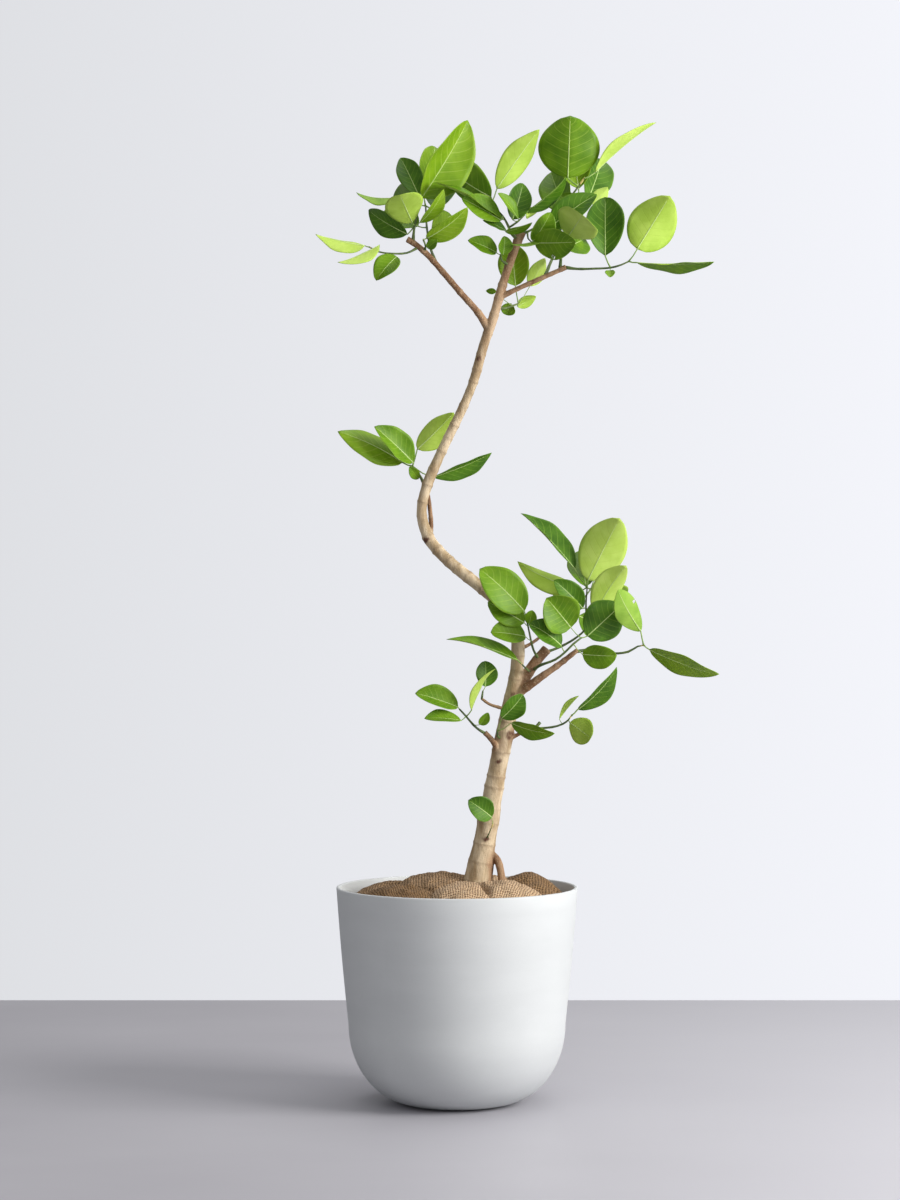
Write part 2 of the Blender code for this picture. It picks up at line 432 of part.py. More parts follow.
def sleeve(name, path, roundness):
    SLEEVES[name] = hide_as_cutter(tube(name + "_sleeve", path, None, CUTTERS, roundness, GAP))


def make_trunk():
    """One smooth tube, split by level cuts at its two bends and cut flat at the soil."""
    whole = smooth_path(TRUNK, 0.032)
    lower_bend, left_bend = (seen(*TRUNK[index][:3]).z for index in (LOWER_BEND, LEFT_BEND))
    spans = {"trunk_lower": (SOIL_TOP + GAP, lower_bend), "trunk_middle": (lower_bend + GAP, left_bend),
             "trunk_upper": (left_bend + GAP, None)}
    for name, (low, high) in spans.items():
        made = tube(name, whole, BARK, roundness=3)
        level_cuts(made, low, high)
        made.data.shade_smooth()
    sleeve("trunk", whole, 3)
    for name in spans:
        SLEEVES[name] = SLEEVES["trunk"]
        LIMBS.append(name)


def make_boughs():
    for name, (carrier, points) in BOUGHS.items():
        path = smooth_path(points, 0.025)
        made = tube(name, path, BARK, roundness=2)
        boolean(made, "DIFFERENCE", SLEEVES[carrier])
        if name == "bough_low_right":
            boolean(made, "DIFFERENCE", SLEEVES["bough_low_stub"])
        if name == "prop_root":
            level_cuts(made, SOIL_TOP + GAP)
        keep_largest(made)
        made.data.shade_smooth()
        LIMBS.append(name)
        sleeve(name, path, 2)


def outline(t, aspect):
    """Half the width of a leaf, against its greatest, at t along it: nearly an ellipse, and more pointed where slim."""
    slim = min(1.0, max(0.0, (0.78 - aspect) / 0.40))
    taper = 1 - (0.05 + 0.15 * slim) * max(0.0, t - 0.70) / 0.30
    return math.sin(math.pi * t ** 0.95) ** (0.56 + 0.20 * slim) * taper


def leaf_frame(foot, tip, turn, face):
    """The leaf's length direction, the direction across it, and the normal of its upper side."""
    along = (tip - foot).normalized()
    to_eye = (EYE - foot).normalized()
    facing = (to_eye - along * to_eye.dot(along)).normalized()
    facing = Matrix.Rotation(math.radians(turn), 3, along) @ facing
    upper = facing * face
    return along, upper.cross(along), upper


def leaf_place(foot, tip, frame, width, fold, arch, t, side):
    """A point of the blade: t from foot to tip, side from -1 to 1 across."""
    along, across, upper = frame
    length = (tip - foot).length
    half = width / 2 * outline(t, width / length)
    lift = abs(side) * half * math.sin(fold) + arch * length * 4 * t * (1 - t)
    return foot + along * (length * t) + across * (side * half * math.cos(fold)) + upper * lift


def leaf(name, row, draw, group):
    """A folded, arched blade of its true thickness."""
    foot, tip = seen(*row[:3]), seen(*row[3:6])
    width, turn, face = row[6] * CM, row[7], row[8]
    length = (tip - foot).length
    fold = math.radians(draw.uniform(16, 28))
    arch = draw.uniform(0.02, 0.07)
    frame = leaf_frame(foot, tip, turn, face)
    steps = 6 if length > 0.12 else 5 if length > 0.075 else 4
    mesh = bpy.data.meshes.new(name)
    work = bmesh.new()
    bmesh.ops.create_grid(work, x_segments=steps, y_segments=2, size=0.5)
    for vert in work.verts:
        t, side = vert.co.x + 0.5, vert.co.y * 2
        vert.co = leaf_place(foot, tip, frame, width, fold, arch, min(max(t, 0.0), 1.0), side)
    bmesh.ops.remove_doubles(work, verts=work.verts, dist=0.00005)
    bmesh.ops.recalc_face_normals(work, faces=work.faces)
    work.to_mesh(mesh)
    work.free()
    made = link(name, mesh, LEAF, group)
    wall = made.modifiers.new("thickness", "SOLIDIFY")
    wall.thickness = max(length / 85, 0.0008)
    wall.offset = 0.0
    bpy.context.view_layer.update()
    made.data = baked(made)
    made.modifiers.clear()
    blade_in = leaf_place(foot, tip, frame, width, fold, arch, 0.14, 0.0)
    return made, foot, blade_in


def nearest(paths, place):
    """The nearest point of the twigs."""
    return min((point for path in paths for point in path), key=lambda point: (point[0] - place).length)


def petiole(name, start, foot, blade_in, draw, group):
    """The leaf's stalk, from inside its twig to inside the blade, with a slight sag."""
    radius = min(0.0011, max(0.0006, (blade_in - foot).length / 12)) * draw.uniform(0.9, 1.1)
    start = start + Vector([draw.uniform(-0.0003, 0.0003) for _ in range(3)])
    middle = start.lerp(foot, 0.5) + Vector((0, 0, -0.06 * (foot - start).length))
    path = [(start, radius * 1.3), (middle, radius), (foot, radius), (blade_in, radius * 0.7)]
    return tube(name, path, LEAF, group, 0)


def tree_of(owner):
    return BVHTree.FromPolygons([v.co for v in owner.data.vertices], [p.vertices for p in owner.data.polygons])


def touches(owner, solids):
    own = tree_of(owner)
    return [name for name, other in solids.items() if own.overlap(other)]


def join(stem, bits):
    """The union of a stem with its bits. Where it comes out touching itself along an edge, the bits
    are moved by a hair and joined again."""
    draw = random.Random(SEED)
    bare_stem = stem.data.copy()
    for attempt in range(8):
        for weld in (0.000002, 0.00001):
            stem.data = bare_stem.copy()
            boolean(stem, "UNION", bits, "EXACT" if attempt % 2 == 0 else "MANIFOLD")
            keep_largest(stem, weld)
            if is_closed(stem.data):
                return
        for bit in bits.objects:
            hair = Vector([draw.uniform(-0.0001, 0.0001) for _ in range(3)])
            bit.data.transform(Matrix.Translation(hair))
    print(stem.name, "stays open")


def make_mass(name, carrier, twigs, leaves, solids):
    """One mass: its twigs, the leaf stalks and the leaves, joined by one Boolean union."""
    draw = random.Random(SEED + len(name))
    bits = bpy.data.collections.new(name + "_bits")
    bpy.context.scene.collection.children.link(bits)
    paths = [smooth_path(points, 0.026) for points in twigs]
    stem = tube(name, paths[0], LEAF, roundness=1)
    boolean(stem, "DIFFERENCE", SLEEVES[carrier])
    keep_largest(stem)
    for index, path in enumerate(paths[1:]):
        tube(f"{name}_twig_{index}", path, LEAF, bits, 1)
    skipped = []
    for index, row in enumerate(leaves):
        blade, foot, blade_in = leaf(f"{name}_leaf_{index}", row, draw, bits)
        start = nearest([paths[0][min(2, len(paths[0]) - 1):]] + paths[1:], foot)[0]
        stalk = petiole(f"{name}_stalk_{index}", start, foot, blade_in, draw, bits)
        hits = touches(blade, solids) + touches(stalk, solids)
        if hits:
            skipped.append((index, hits))
            bpy.data.objects.remove(blade, do_unlink=True)
            bpy.data.objects.remove(stalk, do_unlink=True)
    join(stem, bits)
    for bit in list(bits.objects):
        bpy.data.objects.remove(bit, do_unlink=True)
    bpy.data.collections.remove(bits)
    stem.data.materials.clear()
    stem.data.materials.append(LEAF)
    solids[name] = tree_of(stem)
    print(name, "triangles", len(stem.data.polygons), "skipped", skipped)


def main():
    make_planter()
    make_soil()
    hessian = make_hessian()
    make_trunk()
    make_boughs()
    boolean(hessian, "DIFFERENCE", SLEEVES["trunk"])
    boolean(hessian, "DIFFERENCE", SLEEVES["prop_root"])
    keep_largest(hessian)
    solids = {name: tree_of(bpy.data.objects[name]) for name in LIMBS}
    for name, (carrier, twigs, leaves) in MASSES.items():
        make_mass(name, carrier, twigs, leaves, solids)


main()
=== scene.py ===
# Looks of a potted council tree: camera and light, planter, hessian, bark, young twigs and leaves.
import math
import random

import bpy
from mathutils import Matrix, Vector, noise
from mathutils.kdtree import KDTree


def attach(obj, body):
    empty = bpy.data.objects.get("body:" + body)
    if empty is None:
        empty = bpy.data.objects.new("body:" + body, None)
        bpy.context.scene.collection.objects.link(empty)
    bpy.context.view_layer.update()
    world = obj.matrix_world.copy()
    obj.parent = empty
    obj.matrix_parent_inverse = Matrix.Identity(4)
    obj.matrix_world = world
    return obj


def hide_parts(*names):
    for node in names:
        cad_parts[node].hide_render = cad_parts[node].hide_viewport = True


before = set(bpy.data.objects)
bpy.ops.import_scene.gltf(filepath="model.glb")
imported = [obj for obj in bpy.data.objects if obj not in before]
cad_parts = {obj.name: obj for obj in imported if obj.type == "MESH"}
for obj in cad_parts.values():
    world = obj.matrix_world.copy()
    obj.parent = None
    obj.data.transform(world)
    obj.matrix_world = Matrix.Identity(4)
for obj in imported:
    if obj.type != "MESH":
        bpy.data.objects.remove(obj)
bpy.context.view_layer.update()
scene = bpy.context.scene
cm = 0.01


def deselectAll():
    if bpy.context.object and bpy.context.object.mode != "OBJECT":
        bpy.ops.object.mode_set(mode="OBJECT")
    bpy.ops.object.select_all(action="DESELECT")


def pick(*chosen):
    deselectAll()
    for thing in chosen:
        thing.select_set(True)
    bpy.context.view_layer.objects.active = chosen[0]


def joined(parts, name):
    pick(*parts)
    if len(parts) > 1:
        bpy.ops.object.join()
    whole = bpy.context.object
    whole.name = name
    whole.data.name = name
    return whole


def settle(piece):
    pick(piece)
    bpy.ops.object.transform_apply(location=True, rotation=True, scale=True)


def finish(piece, kind, **settings):  # adds one modifier and applies it
    pick(piece)
    step = piece.modifiers.new(kind.lower(), kind)
    for key, value in settings.items():
        setattr(step, key, value)
    bpy.ops.object.modifier_apply(modifier=step.name)


def editAll(piece, *steps):  # runs edit-mode operators on the whole mesh
    pick(piece)
    bpy.ops.object.mode_set(mode="EDIT")
    bpy.ops.mesh.select_all(action="SELECT")
    for step, settings in steps:
        step(**settings)
    bpy.ops.object.mode_set(mode="OBJECT")


def setAttribute(piece, name, values):
    store = piece.data.attributes.new(name, "FLOAT", "POINT")
    store.data.foreach_set("value", values)


# Camera and light, as the photograph has them.
cameraView = {"eye": (-0.0116, -4.7, 0.832), "lens": 84.96, "sensorHeight": 36.0}
eye = Vector(cameraView["eye"])
cameraData = bpy.data.cameras.new("frontCamera")
cameraData.sensor_fit = "VERTICAL"
cameraData.sensor_height = cameraView["sensorHeight"]
cameraData.lens = cameraView["lens"]
camera = bpy.data.objects.new("frontCamera", cameraData)
camera.location = eye
camera.rotation_euler = (math.pi / 2, 0.0, 0.0)
scene.collection.objects.link(camera)
scene.camera = camera

lamps = {  # place, what it is aimed at, width and height, watts, colour
    "windowRight": ((3.3, -1.5, 1.9), (0.0, 0.0, 0.70), 1.9, 1.9, 186.0, (1.0, 0.985, 0.955)),
    "frontFill": ((1.2, -5.4, 2.8), (0.0, 0.0, 0.8), 3.0, 2.2, 42.0, (1.0, 0.99, 0.97)),
    "topSoft": ((0.5, 0.6, 4.2), (0.0, 0.0, 0.9), 3.0, 3.0, 62.0, (1.0, 1.0, 1.0)),
}
for name, (place, aim, width, height, watts, colour) in lamps.items():
    light = bpy.data.lights.new(name, "AREA")
    light.shape = "RECTANGLE"
    light.size = width
    light.size_y = height
    light.energy = watts
    light.color = colour
    lamp = bpy.data.objects.new(name, light)
    lamp.location = place
    lamp.rotation_euler = (Vector(aim) - Vector(place)).to_track_quat("-Z", "Y").to_euler()
    scene.collection.objects.link(lamp)

scene.view_settings.view_transform = "Standard"
scene.view_settings.exposure = 0.0
room = bpy.data.worlds.new("paleRoom")
scene.world = room
room.use_nodes = True
sky = room.node_tree
sky.nodes.clear()
seenWhite = sky.nodes.new("ShaderNodeBackground")
heading = sky.nodes.new("ShaderNodeTexCoord")
headingSplit = sky.nodes.new("ShaderNodeSeparateXYZ")
sideways = sky.nodes.new("ShaderNodeMapRange")
sideways.inputs["From Min"].default_value = -0.16
sideways.inputs["From Max"].default_value = 0.16
# Painted light: the backdrop seen by the camera is coloured brighter towards the right, the side of the
# window lamp.
wallLightToRight = sky.nodes.new("ShaderNodeMix")
wallLightToRight.data_type = "RGBA"
wallLightToRight.inputs["A"].default_value = (0.735, 0.745, 0.775, 1.0)
wallLightToRight.inputs["B"].default_value = (0.905, 0.915, 0.965, 1.0)
sky.links.new(heading.outputs["Generated"], headingSplit.inputs["Vector"])
sky.links.new(headingSplit.outputs["X"], sideways.inputs["Value"])
sky.links.new(sideways.outputs["Result"], wallLightToRight.inputs["Factor"])
sky.links.new(wallLightToRight.outputs["Result"], seenWhite.inputs["Color"])
litWhite = sky.nodes.new("ShaderNodeBackground")
litWhite.inputs["Color"].default_value = (0.97, 0.98, 1.0, 1.0)
litWhite.inputs["Strength"].default_value = 0.39
rayKind = sky.nodes.new("ShaderNodeLightPath")
rayMix = sky.nodes.new("ShaderNodeMixShader")
skyOut = sky.nodes.new("ShaderNodeOutputWorld")
sky.links.new(rayKind.outputs["Is Camera Ray"], rayMix.inputs["Fac"])
sky.links.new(litWhite.outputs[0], rayMix.inputs[1])
sky.links.new(seenWhite.outputs[0], rayMix.inputs[2])
sky.links.new(rayMix.outputs[0], skyOut.inputs["Surface"])
print("camera and light set")


# Node work shared by the materials.
def wire(tree, value, socket):
    if isinstance(value, bpy.types.NodeSocket):
        tree.links.new(value, socket)
    else:
        socket.default_value = value


def mathNode(tree, operation, *values, clamp=False):
    node = tree.nodes.new("ShaderNodeMath")
    node.operation = operation
    node.use_clamp = clamp
    for value, socket in zip(values, node.inputs):
        wire(tree, value, socket)
    return node.outputs[0]


def ease(tree, value, low, high):  # 0 below low, 1 above high, smooth between
    node = tree.nodes.new("ShaderNodeMapRange")
    node.interpolation_type = "SMOOTHSTEP"
    wire(tree, value, node.inputs["Value"])
    node.inputs["From Min"].default_value = low
    node.inputs["From Max"].default_value = high
    return node.outputs["Result"]


def blend(tree, share, first, second, kind="MIX"):
    node = tree.nodes.new("ShaderNodeMix")
    node.data_type = "RGBA"
    node.blend_type = kind
    wire(tree, share, node.inputs["Factor"])
    wire(tree, first, node.inputs["A"])
    wire(tree, second, node.inputs["B"])
    return node.outputs["Result"]


def objectSpace(tree, scale=(1.0, 1.0, 1.0)):
    place = tree.nodes.new("ShaderNodeTexCoord")
    turn = tree.nodes.new("ShaderNodeMapping")
    turn.inputs["Scale"].default_value = scale
    tree.links.new(place.outputs["Object"], turn.inputs["Vector"])
    return turn.outputs["Vector"]


def speck(tree, where, scale, detail=3.0, roughness=0.55):
    node = tree.nodes.new("ShaderNodeTexNoise")
    node.inputs["Scale"].default_value = scale
    node.inputs["Detail"].default_value = detail
    node.inputs["Roughness"].default_value = roughness
    tree.links.new(where, node.inputs["Vector"])
    return node.outputs["Fac"]


def attribute(tree, name):
    node = tree.nodes.new("ShaderNodeAttribute")
    node.attribute_name = name
    return node.outputs["Fac"]


def relief(tree, height, strength, distance):
    node = tree.nodes.new("ShaderNodeBump")
    node.inputs["Strength"].default_value = strength
    node.inputs["Distance"].default_value = distance
    wire(tree, height, node.inputs["Height"])
    return node.outputs["Normal"]


def newMaterial(name, roughness, sheen=0.0, specular=0.5):
    made = bpy.data.materials.new(name)
    made.use_nodes = True
    surface = made.node_tree.nodes["Principled BSDF"]
    surface.inputs["Roughness"].default_value = roughness
    surface.inputs["Sheen Weight"].default_value = sheen
    surface.inputs["Specular IOR Level"].default_value = specular
    return made, made.node_tree, surface


def newGroup(name, inputs, outputs):  # each a dictionary of socket name and kind
    tree = bpy.data.node_groups.new(name, "ShaderNodeTree")
    for label, kind in inputs.items():
        tree.interface.new_socket(label, in_out="INPUT", socket_type="NodeSocket" + kind)
    for label, kind in outputs.items():
        tree.interface.new_socket(label, in_out="OUTPUT", socket_type="NodeSocket" + kind)
    return tree, tree.nodes.new("NodeGroupInput"), tree.nodes.new("NodeGroupOutput")


def place(tree, group, **values):
    node = tree.nodes.new("ShaderNodeGroup")
    node.node_tree = group
    for label, value in values.items():
        wire(tree, value, node.inputs[label])
    return node


# Shared effect: soft patches and fine specks, used by planter, floor, bark and twigs.
mottle, mottleIn, mottleOut = newGroup(
    "mottle", {"Where": "Vector", "PatchScale": "Float", "SpeckScale": "Float"},
    {"Patch": "Float", "Speck": "Float"})
for label, source, detail in (("Patch", "PatchScale", 4.0), ("Speck", "SpeckScale", 2.0)):
    grain = mottle.nodes.new("ShaderNodeTexNoise")
    grain.inputs["Detail"].default_value = detail
    mottle.links.new(mottleIn.outputs["Where"], grain.inputs["Vector"])
    mottle.links.new(mottleIn.outputs[source], grain.inputs["Scale"])
    mottle.links.new(grain.outputs["Fac"], mottleOut.inputs[label])

# The floor, a plain pale slab that ends at the back where the photograph's floor does.
floorSize = {"left": -4.5, "right": 4.5, "front": -7.0, "back": 1.19}
bpy.ops.mesh.primitive_grid_add(x_subdivisions=4, y_subdivisions=4, size=1.0)
floor = bpy.context.object
floor.name = "paleFloor"
floor.scale = (floorSize["right"] - floorSize["left"], floorSize["back"] - floorSize["front"], 1.0)
floor.location = ((floorSize["right"] + floorSize["left"]) / 2,
                  (floorSize["back"] + floorSize["front"]) / 2, -0.0004)
settle(floor)
floorMaterial, tree, surface = newMaterial("smoothFloor", 0.5)
patches = place(tree, mottle, Where=objectSpace(tree, (0.5, 1.0, 1.0)), PatchScale=1.6, SpeckScale=40.0)
floorMottleAndLight = blend(tree, ease(tree, patches.outputs["Patch"], 0.3, 0.75), (0.375, 0.365, 0.400, 1),
             (0.425, 0.415, 0.450, 1))
# Painted light: on top of its mottle, the floor is coloured paler towards the right, where the window lamp
# lights it more.
floorLitToRight = tree.nodes.new("ShaderNodeSeparateXYZ")
tree.links.new(objectSpace(tree), floorLitToRight.inputs["Vector"])
floorMottleAndLight = blend(tree, mathNode(tree, "MULTIPLY", ease(tree, floorLitToRight.outputs["X"], -0.6, 1.1), 0.8), floorMottleAndLight,
             (0.56, 0.555, 0.60, 1))
tree.links.new(floorMottleAndLight, surface.inputs["Base Color"])
tree.links.new(relief(tree, patches.outputs["Speck"], 0.05, 0.001), surface.inputs["Normal"])
floor.data.materials.append(floorMaterial)
print("floor laid")


# The planter: one turned shell with a thin rounded lip, on a flat underside.
planterShape = {
    "rimRadius": 0.200, "rimHeight": 0.355, "wall": 0.006, "shoulderRadius": 0.180, "shoulderHeight": 0.130,
    "footRadius": 0.075, "floorThickness": 0.012, "bulge": 0.0012, "lipRise": 0.0018, "sides": 144,
}


def wallRows(inset):  # (radius, height) from rim to foot
    shape = planterShape
    rows = []
    for index in range(9):
        s = 1 - index / 8
        radius = shape["shoulderRadius"] + (shape["rimRadius"] - shape["shoulderRadius"]) * s
        radius += shape["bulge"] * math.sin(math.pi * s)
        wallHeight = shape["rimHeight"] - shape["shoulderHeight"]
        rows.append((radius - inset, shape["shoulderHeight"] + wallHeight * s))
    reach = shape["shoulderRadius"] - shape["footRadius"]
    for index in range(1, 19):
        angle = math.pi / 2 * index / 18
        rows.append((shape["footRadius"] + (reach - inset) * math.cos(angle),
                     shape["shoulderHeight"] - (shape["shoulderHeight"] - inset) * math.sin(angle)))
    return rows


def lipRows():  # round the lip from its outer to its inner edge
    shape = planterShape
    middle = shape["rimRadius"] - shape["wall"] / 2
    half = shape["wall"] / 2
    return [(middle + half * math.cos(angle), shape["rimHeight"] + shape["lipRise"] * math.sin(angle))
            for angle in (math.pi * step / 8 for step in range(1, 8))]


def turned(name, rows, sides):  # a ring drawn up row by row, with both ends closed
    deselectAll()
    radius, height = rows[0]
    bpy.ops.mesh.primitive_circle_add(vertices=sides, radius=radius, location=(0, 0, height),
                                      fill_type="NGON")
    piece = bpy.context.object
    piece.name = name
    bpy.ops.object.transform_apply(location=True, rotation=True, scale=True)
    bpy.ops.object.mode_set(mode="EDIT")
    bpy.ops.mesh.select_all(action="SELECT")
    bpy.ops.mesh.delete(type="ONLY_FACE")
    bpy.ops.mesh.select_all(action="SELECT")
    for nextRadius, nextHeight in rows[1:]:
        bpy.ops.mesh.extrude_edges_move(TRANSFORM_OT_translate={"value": (0, 0, nextHeight - height)})
        share = nextRadius / radius
        bpy.ops.transform.resize(value=(share, share, 1.0), center_override=(0, 0, 0))
        radius, height = nextRadius, nextHeight
    bpy.ops.mesh.edge_face_add()
    bpy.ops.mesh.select_all(action="DESELECT")
    bpy.ops.mesh.select_mode(type="EDGE")
    bpy.ops.mesh.select_non_manifold()
    bpy.ops.mesh.edge_face_add()
    bpy.ops.mesh.select_all(action="SELECT")
    bpy.ops.mesh.normals_make_consistent(inside=False)
    bpy.ops.object.mode_set(mode="OBJECT")
    return piece


floorTop = planterShape["floorThickness"]
innerRows = [(radius, max(height, floorTop)) for radius, height in wallRows(planterShape["wall"])]
innerRows = [row for index, row in enumerate(innerRows) if row[1] > floorTop or index == 25]
planter = turned("planterShell", wallRows(0.0)[::-1] + lipRows() + innerRows, planterShape["sides"])
bpy.ops.object.shade_smooth_by_angle(angle=math.radians(50))

planterMaterial, tree, surface = newMaterial("castGreyShell", 0.62, specular=0.35)
bands = place(tree, mottle, Where=objectSpace(tree, (1.0, 1.0, 5.0)), PatchScale=3.2, SpeckScale=260.0)
clouds = speck(tree, objectSpace(tree), 14.0, 5.0, 0.6)
base = blend(tree, ease(tree, bands.outputs["Patch"], 0.32, 0.72), (0.540, 0.558, 0.566, 1),
             (0.572, 0.590, 0.598, 1))
base = blend(tree, mathNode(tree, "MULTIPLY", ease(tree, clouds, 0.5, 0.8), 0.25), base,
             (0.62, 0.638, 0.645, 1))
base = blend(tree, mathNode(tree, "MULTIPLY", ease(tree, bands.outputs["Speck"], 0.62, 0.75), 0.25), base,
             (0.44, 0.455, 0.46, 1))
tree.links.new(base, surface.inputs["Base Color"])
rub = mathNode(tree, "MULTIPLY_ADD", clouds, 0.16, 0.52)
tree.links.new(rub, surface.inputs["Roughness"])
grain = mathNode(tree, "MULTIPLY_ADD", bands.outputs["Patch"], 0.6, bands.outputs["Speck"])
tree.links.new(relief(tree, grain, 0.12, 0.0006), surface.inputs["Normal"])
planter.data.materials.append(planterMaterial)
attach(planter, "root")
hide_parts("planter")
print("planter turned")

# The soil keeps its solid, and gets crumbs of dark earth.
soilMaterial, tree, surface = newMaterial("darkSoil", 0.95, specular=0.2)
crumbs = place(tree, mottle, Where=objectSpace(tree), PatchScale=60.0, SpeckScale=420.0)
earth = blend(tree, crumbs.outputs["Patch"], (0.018, 0.012, 0.008, 1), (0.085, 0.055, 0.034, 1))
tree.links.new(earth, surface.inputs["Base Color"])
tree.links.new(relief(tree, crumbs.outputs["Speck"], 0.8, 0.004), surface.inputs["Normal"])
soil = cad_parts["soil"]
soil.data.materials.clear()
soil.data.materials.append(soilMaterial)

# The hessian: one cloth gathered into stuffed puffs, with deep creases between them.
clothShape = {
    "radius": 0.1885, "bed": 0.3253, "hem": 0.007, "thickness": 0.0016, "flat": (0.40, 0.40),
    "threads": 0.0046,
    "puffs": [  # middle x, y, half width, half depth, turn in degrees, height over the hem, painted light (pale for a lit puff, dark for one in shade)
        (-0.098, -0.075, 0.072, 0.085, 20, 0.036, 0.15), (-0.030, 0.030, 0.080, 0.085, 0, 0.046, 0.4),
        (0.012, -0.095, 0.062, 0.075, -10, 0.041, 0.9), (0.075, -0.070, 0.070, 0.090, 25, 0.042, 1.0),
        (0.128, 0.030, 0.062, 0.085, 10, 0.048, 0.2), (-0.120, 0.070, 0.068, 0.090, -15, 0.030, 0.3),
        (0.055, 0.115, 0.085, 0.065, 10, 0.036, 0.5), (0.055, 0.030, 0.060, 0.070, 0, 0.038, 0.9),
        (-0.040, 0.135, 0.075, 0.055, 5, 0.034, 0.4)],
}


def clothHeight(x, y):
    shape = clothShape
    edge = math.hypot(x, y) / shape["radius"]
    highest, second = 0.0, 0.0
    # Painted light and shade: each point takes the light value of the puff highest over it, pale for lit
    # puffs and dark for shaded ones.
    puffLightSum, puffLightWeight = 0.3, 1.0
    for a, b, wide, deep, turn, rise, paintedPuffLight in shape["puffs"]:
        angle = math.radians(turn)
        u = ((x - a) * math.cos(angle) + (y - b) * math.sin(angle)) / wide
        v = (-(x - a) * math.sin(angle) + (y - b) * math.cos(angle)) / deep
        dome = max(0.0, 1 - (u * u + v * v) * 0.86)
        here = rise * dome ** 0.55
        highest, second = max(highest, here), max(second, min(highest, here))
        weight = math.exp(here / 0.003) - 1
        puffLightSum += paintedPuffLight * weight
        puffLightWeight += weight
    spot = Vector((x, y, 0.0))
    folds = abs(noise.noise(spot * 26.0 + Vector((3, 1, 0)))) * 0.010
    crumple = noise.noise(spot * 60.0) * 0.0022 + noise.noise(spot * 150.0) * 0.0008
    fall = 1 - max(0.0, min(1.0, edge)) ** 7
    deep = max(0.15, min(1.0, 0.5 + 1.6 * noise.noise(spot * 17.0 + Vector((5, 2, 0)))))
    crease = 0.014 * deep * math.exp(-((highest - second) / 0.0040) ** 2) if second > 0.004 else 0.0
    raised = fall * (highest - crease - folds * (0.4 + highest * 8)) + crumple * (0.3 + fall)
    return shape["bed"] + shape["hem"] + max(raised, -0.004), puffLightSum / puffLightWeight


deselectAll()
bpy.ops.mesh.primitive_grid_add(x_subdivisions=190, y_subdivisions=190, size=2 * clothShape["radius"])
cloth = bpy.context.object
cloth.name = "hessianCloth"
weaveMap = cloth.data.uv_layers.active
for loop in cloth.data.loops:  # the cloth's own flat size, in metres
    spot = cloth.data.vertices[loop.vertex_index].co
    weaveMap.data[loop.index].uv = (spot.x, spot.y)
# painted light and shade of the puffs, one value for each point of the cloth
puffLightValues = []
for vert in cloth.data.vertices:  # the square is pressed into a round, then raised
    x, y = vert.co.x / clothShape["radius"], vert.co.y / clothShape["radius"]
    x, y = x * math.sqrt(max(0.0, 1 - y * y / 2)), y * math.sqrt(max(0.0, 1 - x * x / 2))
    x, y = x * clothShape["radius"], y * clothShape["radius"]
    height, puffLightHere = clothHeight(x, y)
    vert.co = (x, y, height)
    puffLightValues.append(puffLightHere)
setAttribute(cloth, "paintedPuffLight", puffLightValues)


def dropFaces(piece, isInside):  # deletes the faces whose middle passes the test
    pick(piece)
    for face in piece.data.polygons:
        face.select = isInside(face.center)
    for edge in piece.data.edges:
        edge.select = False
    for vert in piece.data.vertices:
        vert.select = False
    bpy.ops.object.mode_set(mode="EDIT")
    bpy.ops.mesh.select_mode(type="FACE")
    bpy.ops.mesh.delete(type="FACE")
    bpy.ops.object.mode_set(mode="OBJECT")


trunkFoot = Vector((0.031, 0.0))  # the cloth is parted round the trunk
dropFaces(cloth, lambda middle: (Vector((middle.x, middle.y)) - trunkFoot).length < 0.018)
finish(cloth, "SOLIDIFY", thickness=clothShape["thickness"], offset=-1.0)
cloth.data.shade_smooth()

weave, weaveIn, weaveOut = newGroup(
    "openWeave", {"Flat": "Vector", "ThreadsPerMetre": "Float"}, {"Height": "Float", "Gap": "Float"})
flatSplit = weave.nodes.new("ShaderNodeSeparateXYZ")
wobble = weave.nodes.new("ShaderNodeTexNoise")
wobble.inputs["Scale"].default_value = 55.0
weave.links.new(weaveIn.outputs["Flat"], wobble.inputs["Vector"])
weave.links.new(weaveIn.outputs["Flat"], flatSplit.inputs["Vector"])
shift = mathNode(weave, "MULTIPLY", wobble.outputs["Fac"], 1.6)
across = mathNode(weave, "MULTIPLY_ADD", flatSplit.outputs["X"], weaveIn.outputs["ThreadsPerMetre"], shift)
down = mathNode(weave, "MULTIPLY_ADD", flatSplit.outputs["Y"], weaveIn.outputs["ThreadsPerMetre"], shift)
warp = mathNode(weave, "ABSOLUTE", mathNode(weave, "SINE", mathNode(weave, "MULTIPLY", across, math.pi)))
weft = mathNode(weave, "ABSOLUTE", mathNode(weave, "SINE", mathNode(weave, "MULTIPLY", down, math.pi)))
thread = mathNode(weave, "MAXIMUM", warp, weft)
weave.links.new(thread, weaveOut.inputs["Height"])
slit = ease(weave, mathNode(weave, "MINIMUM", warp, weft), 0.62, 0.10)
hole = ease(weave, thread, 0.80, 0.45)
weave.links.new(mathNode(weave, "MULTIPLY_ADD", slit, 0.55, hole, clamp=True), weaveOut.inputs["Gap"])

hessianMaterial, tree, surface = newMaterial("juteWeave", 0.95, sheen=0.04, specular=0.1)
flatMap = tree.nodes.new("ShaderNodeTexCoord")
threads = place(tree, weave, Flat=flatMap.outputs["UV"], ThreadsPerMetre=1 / clothShape["threads"])
fibres = place(tree, mottle, Where=objectSpace(tree), PatchScale=22.0, SpeckScale=620.0)
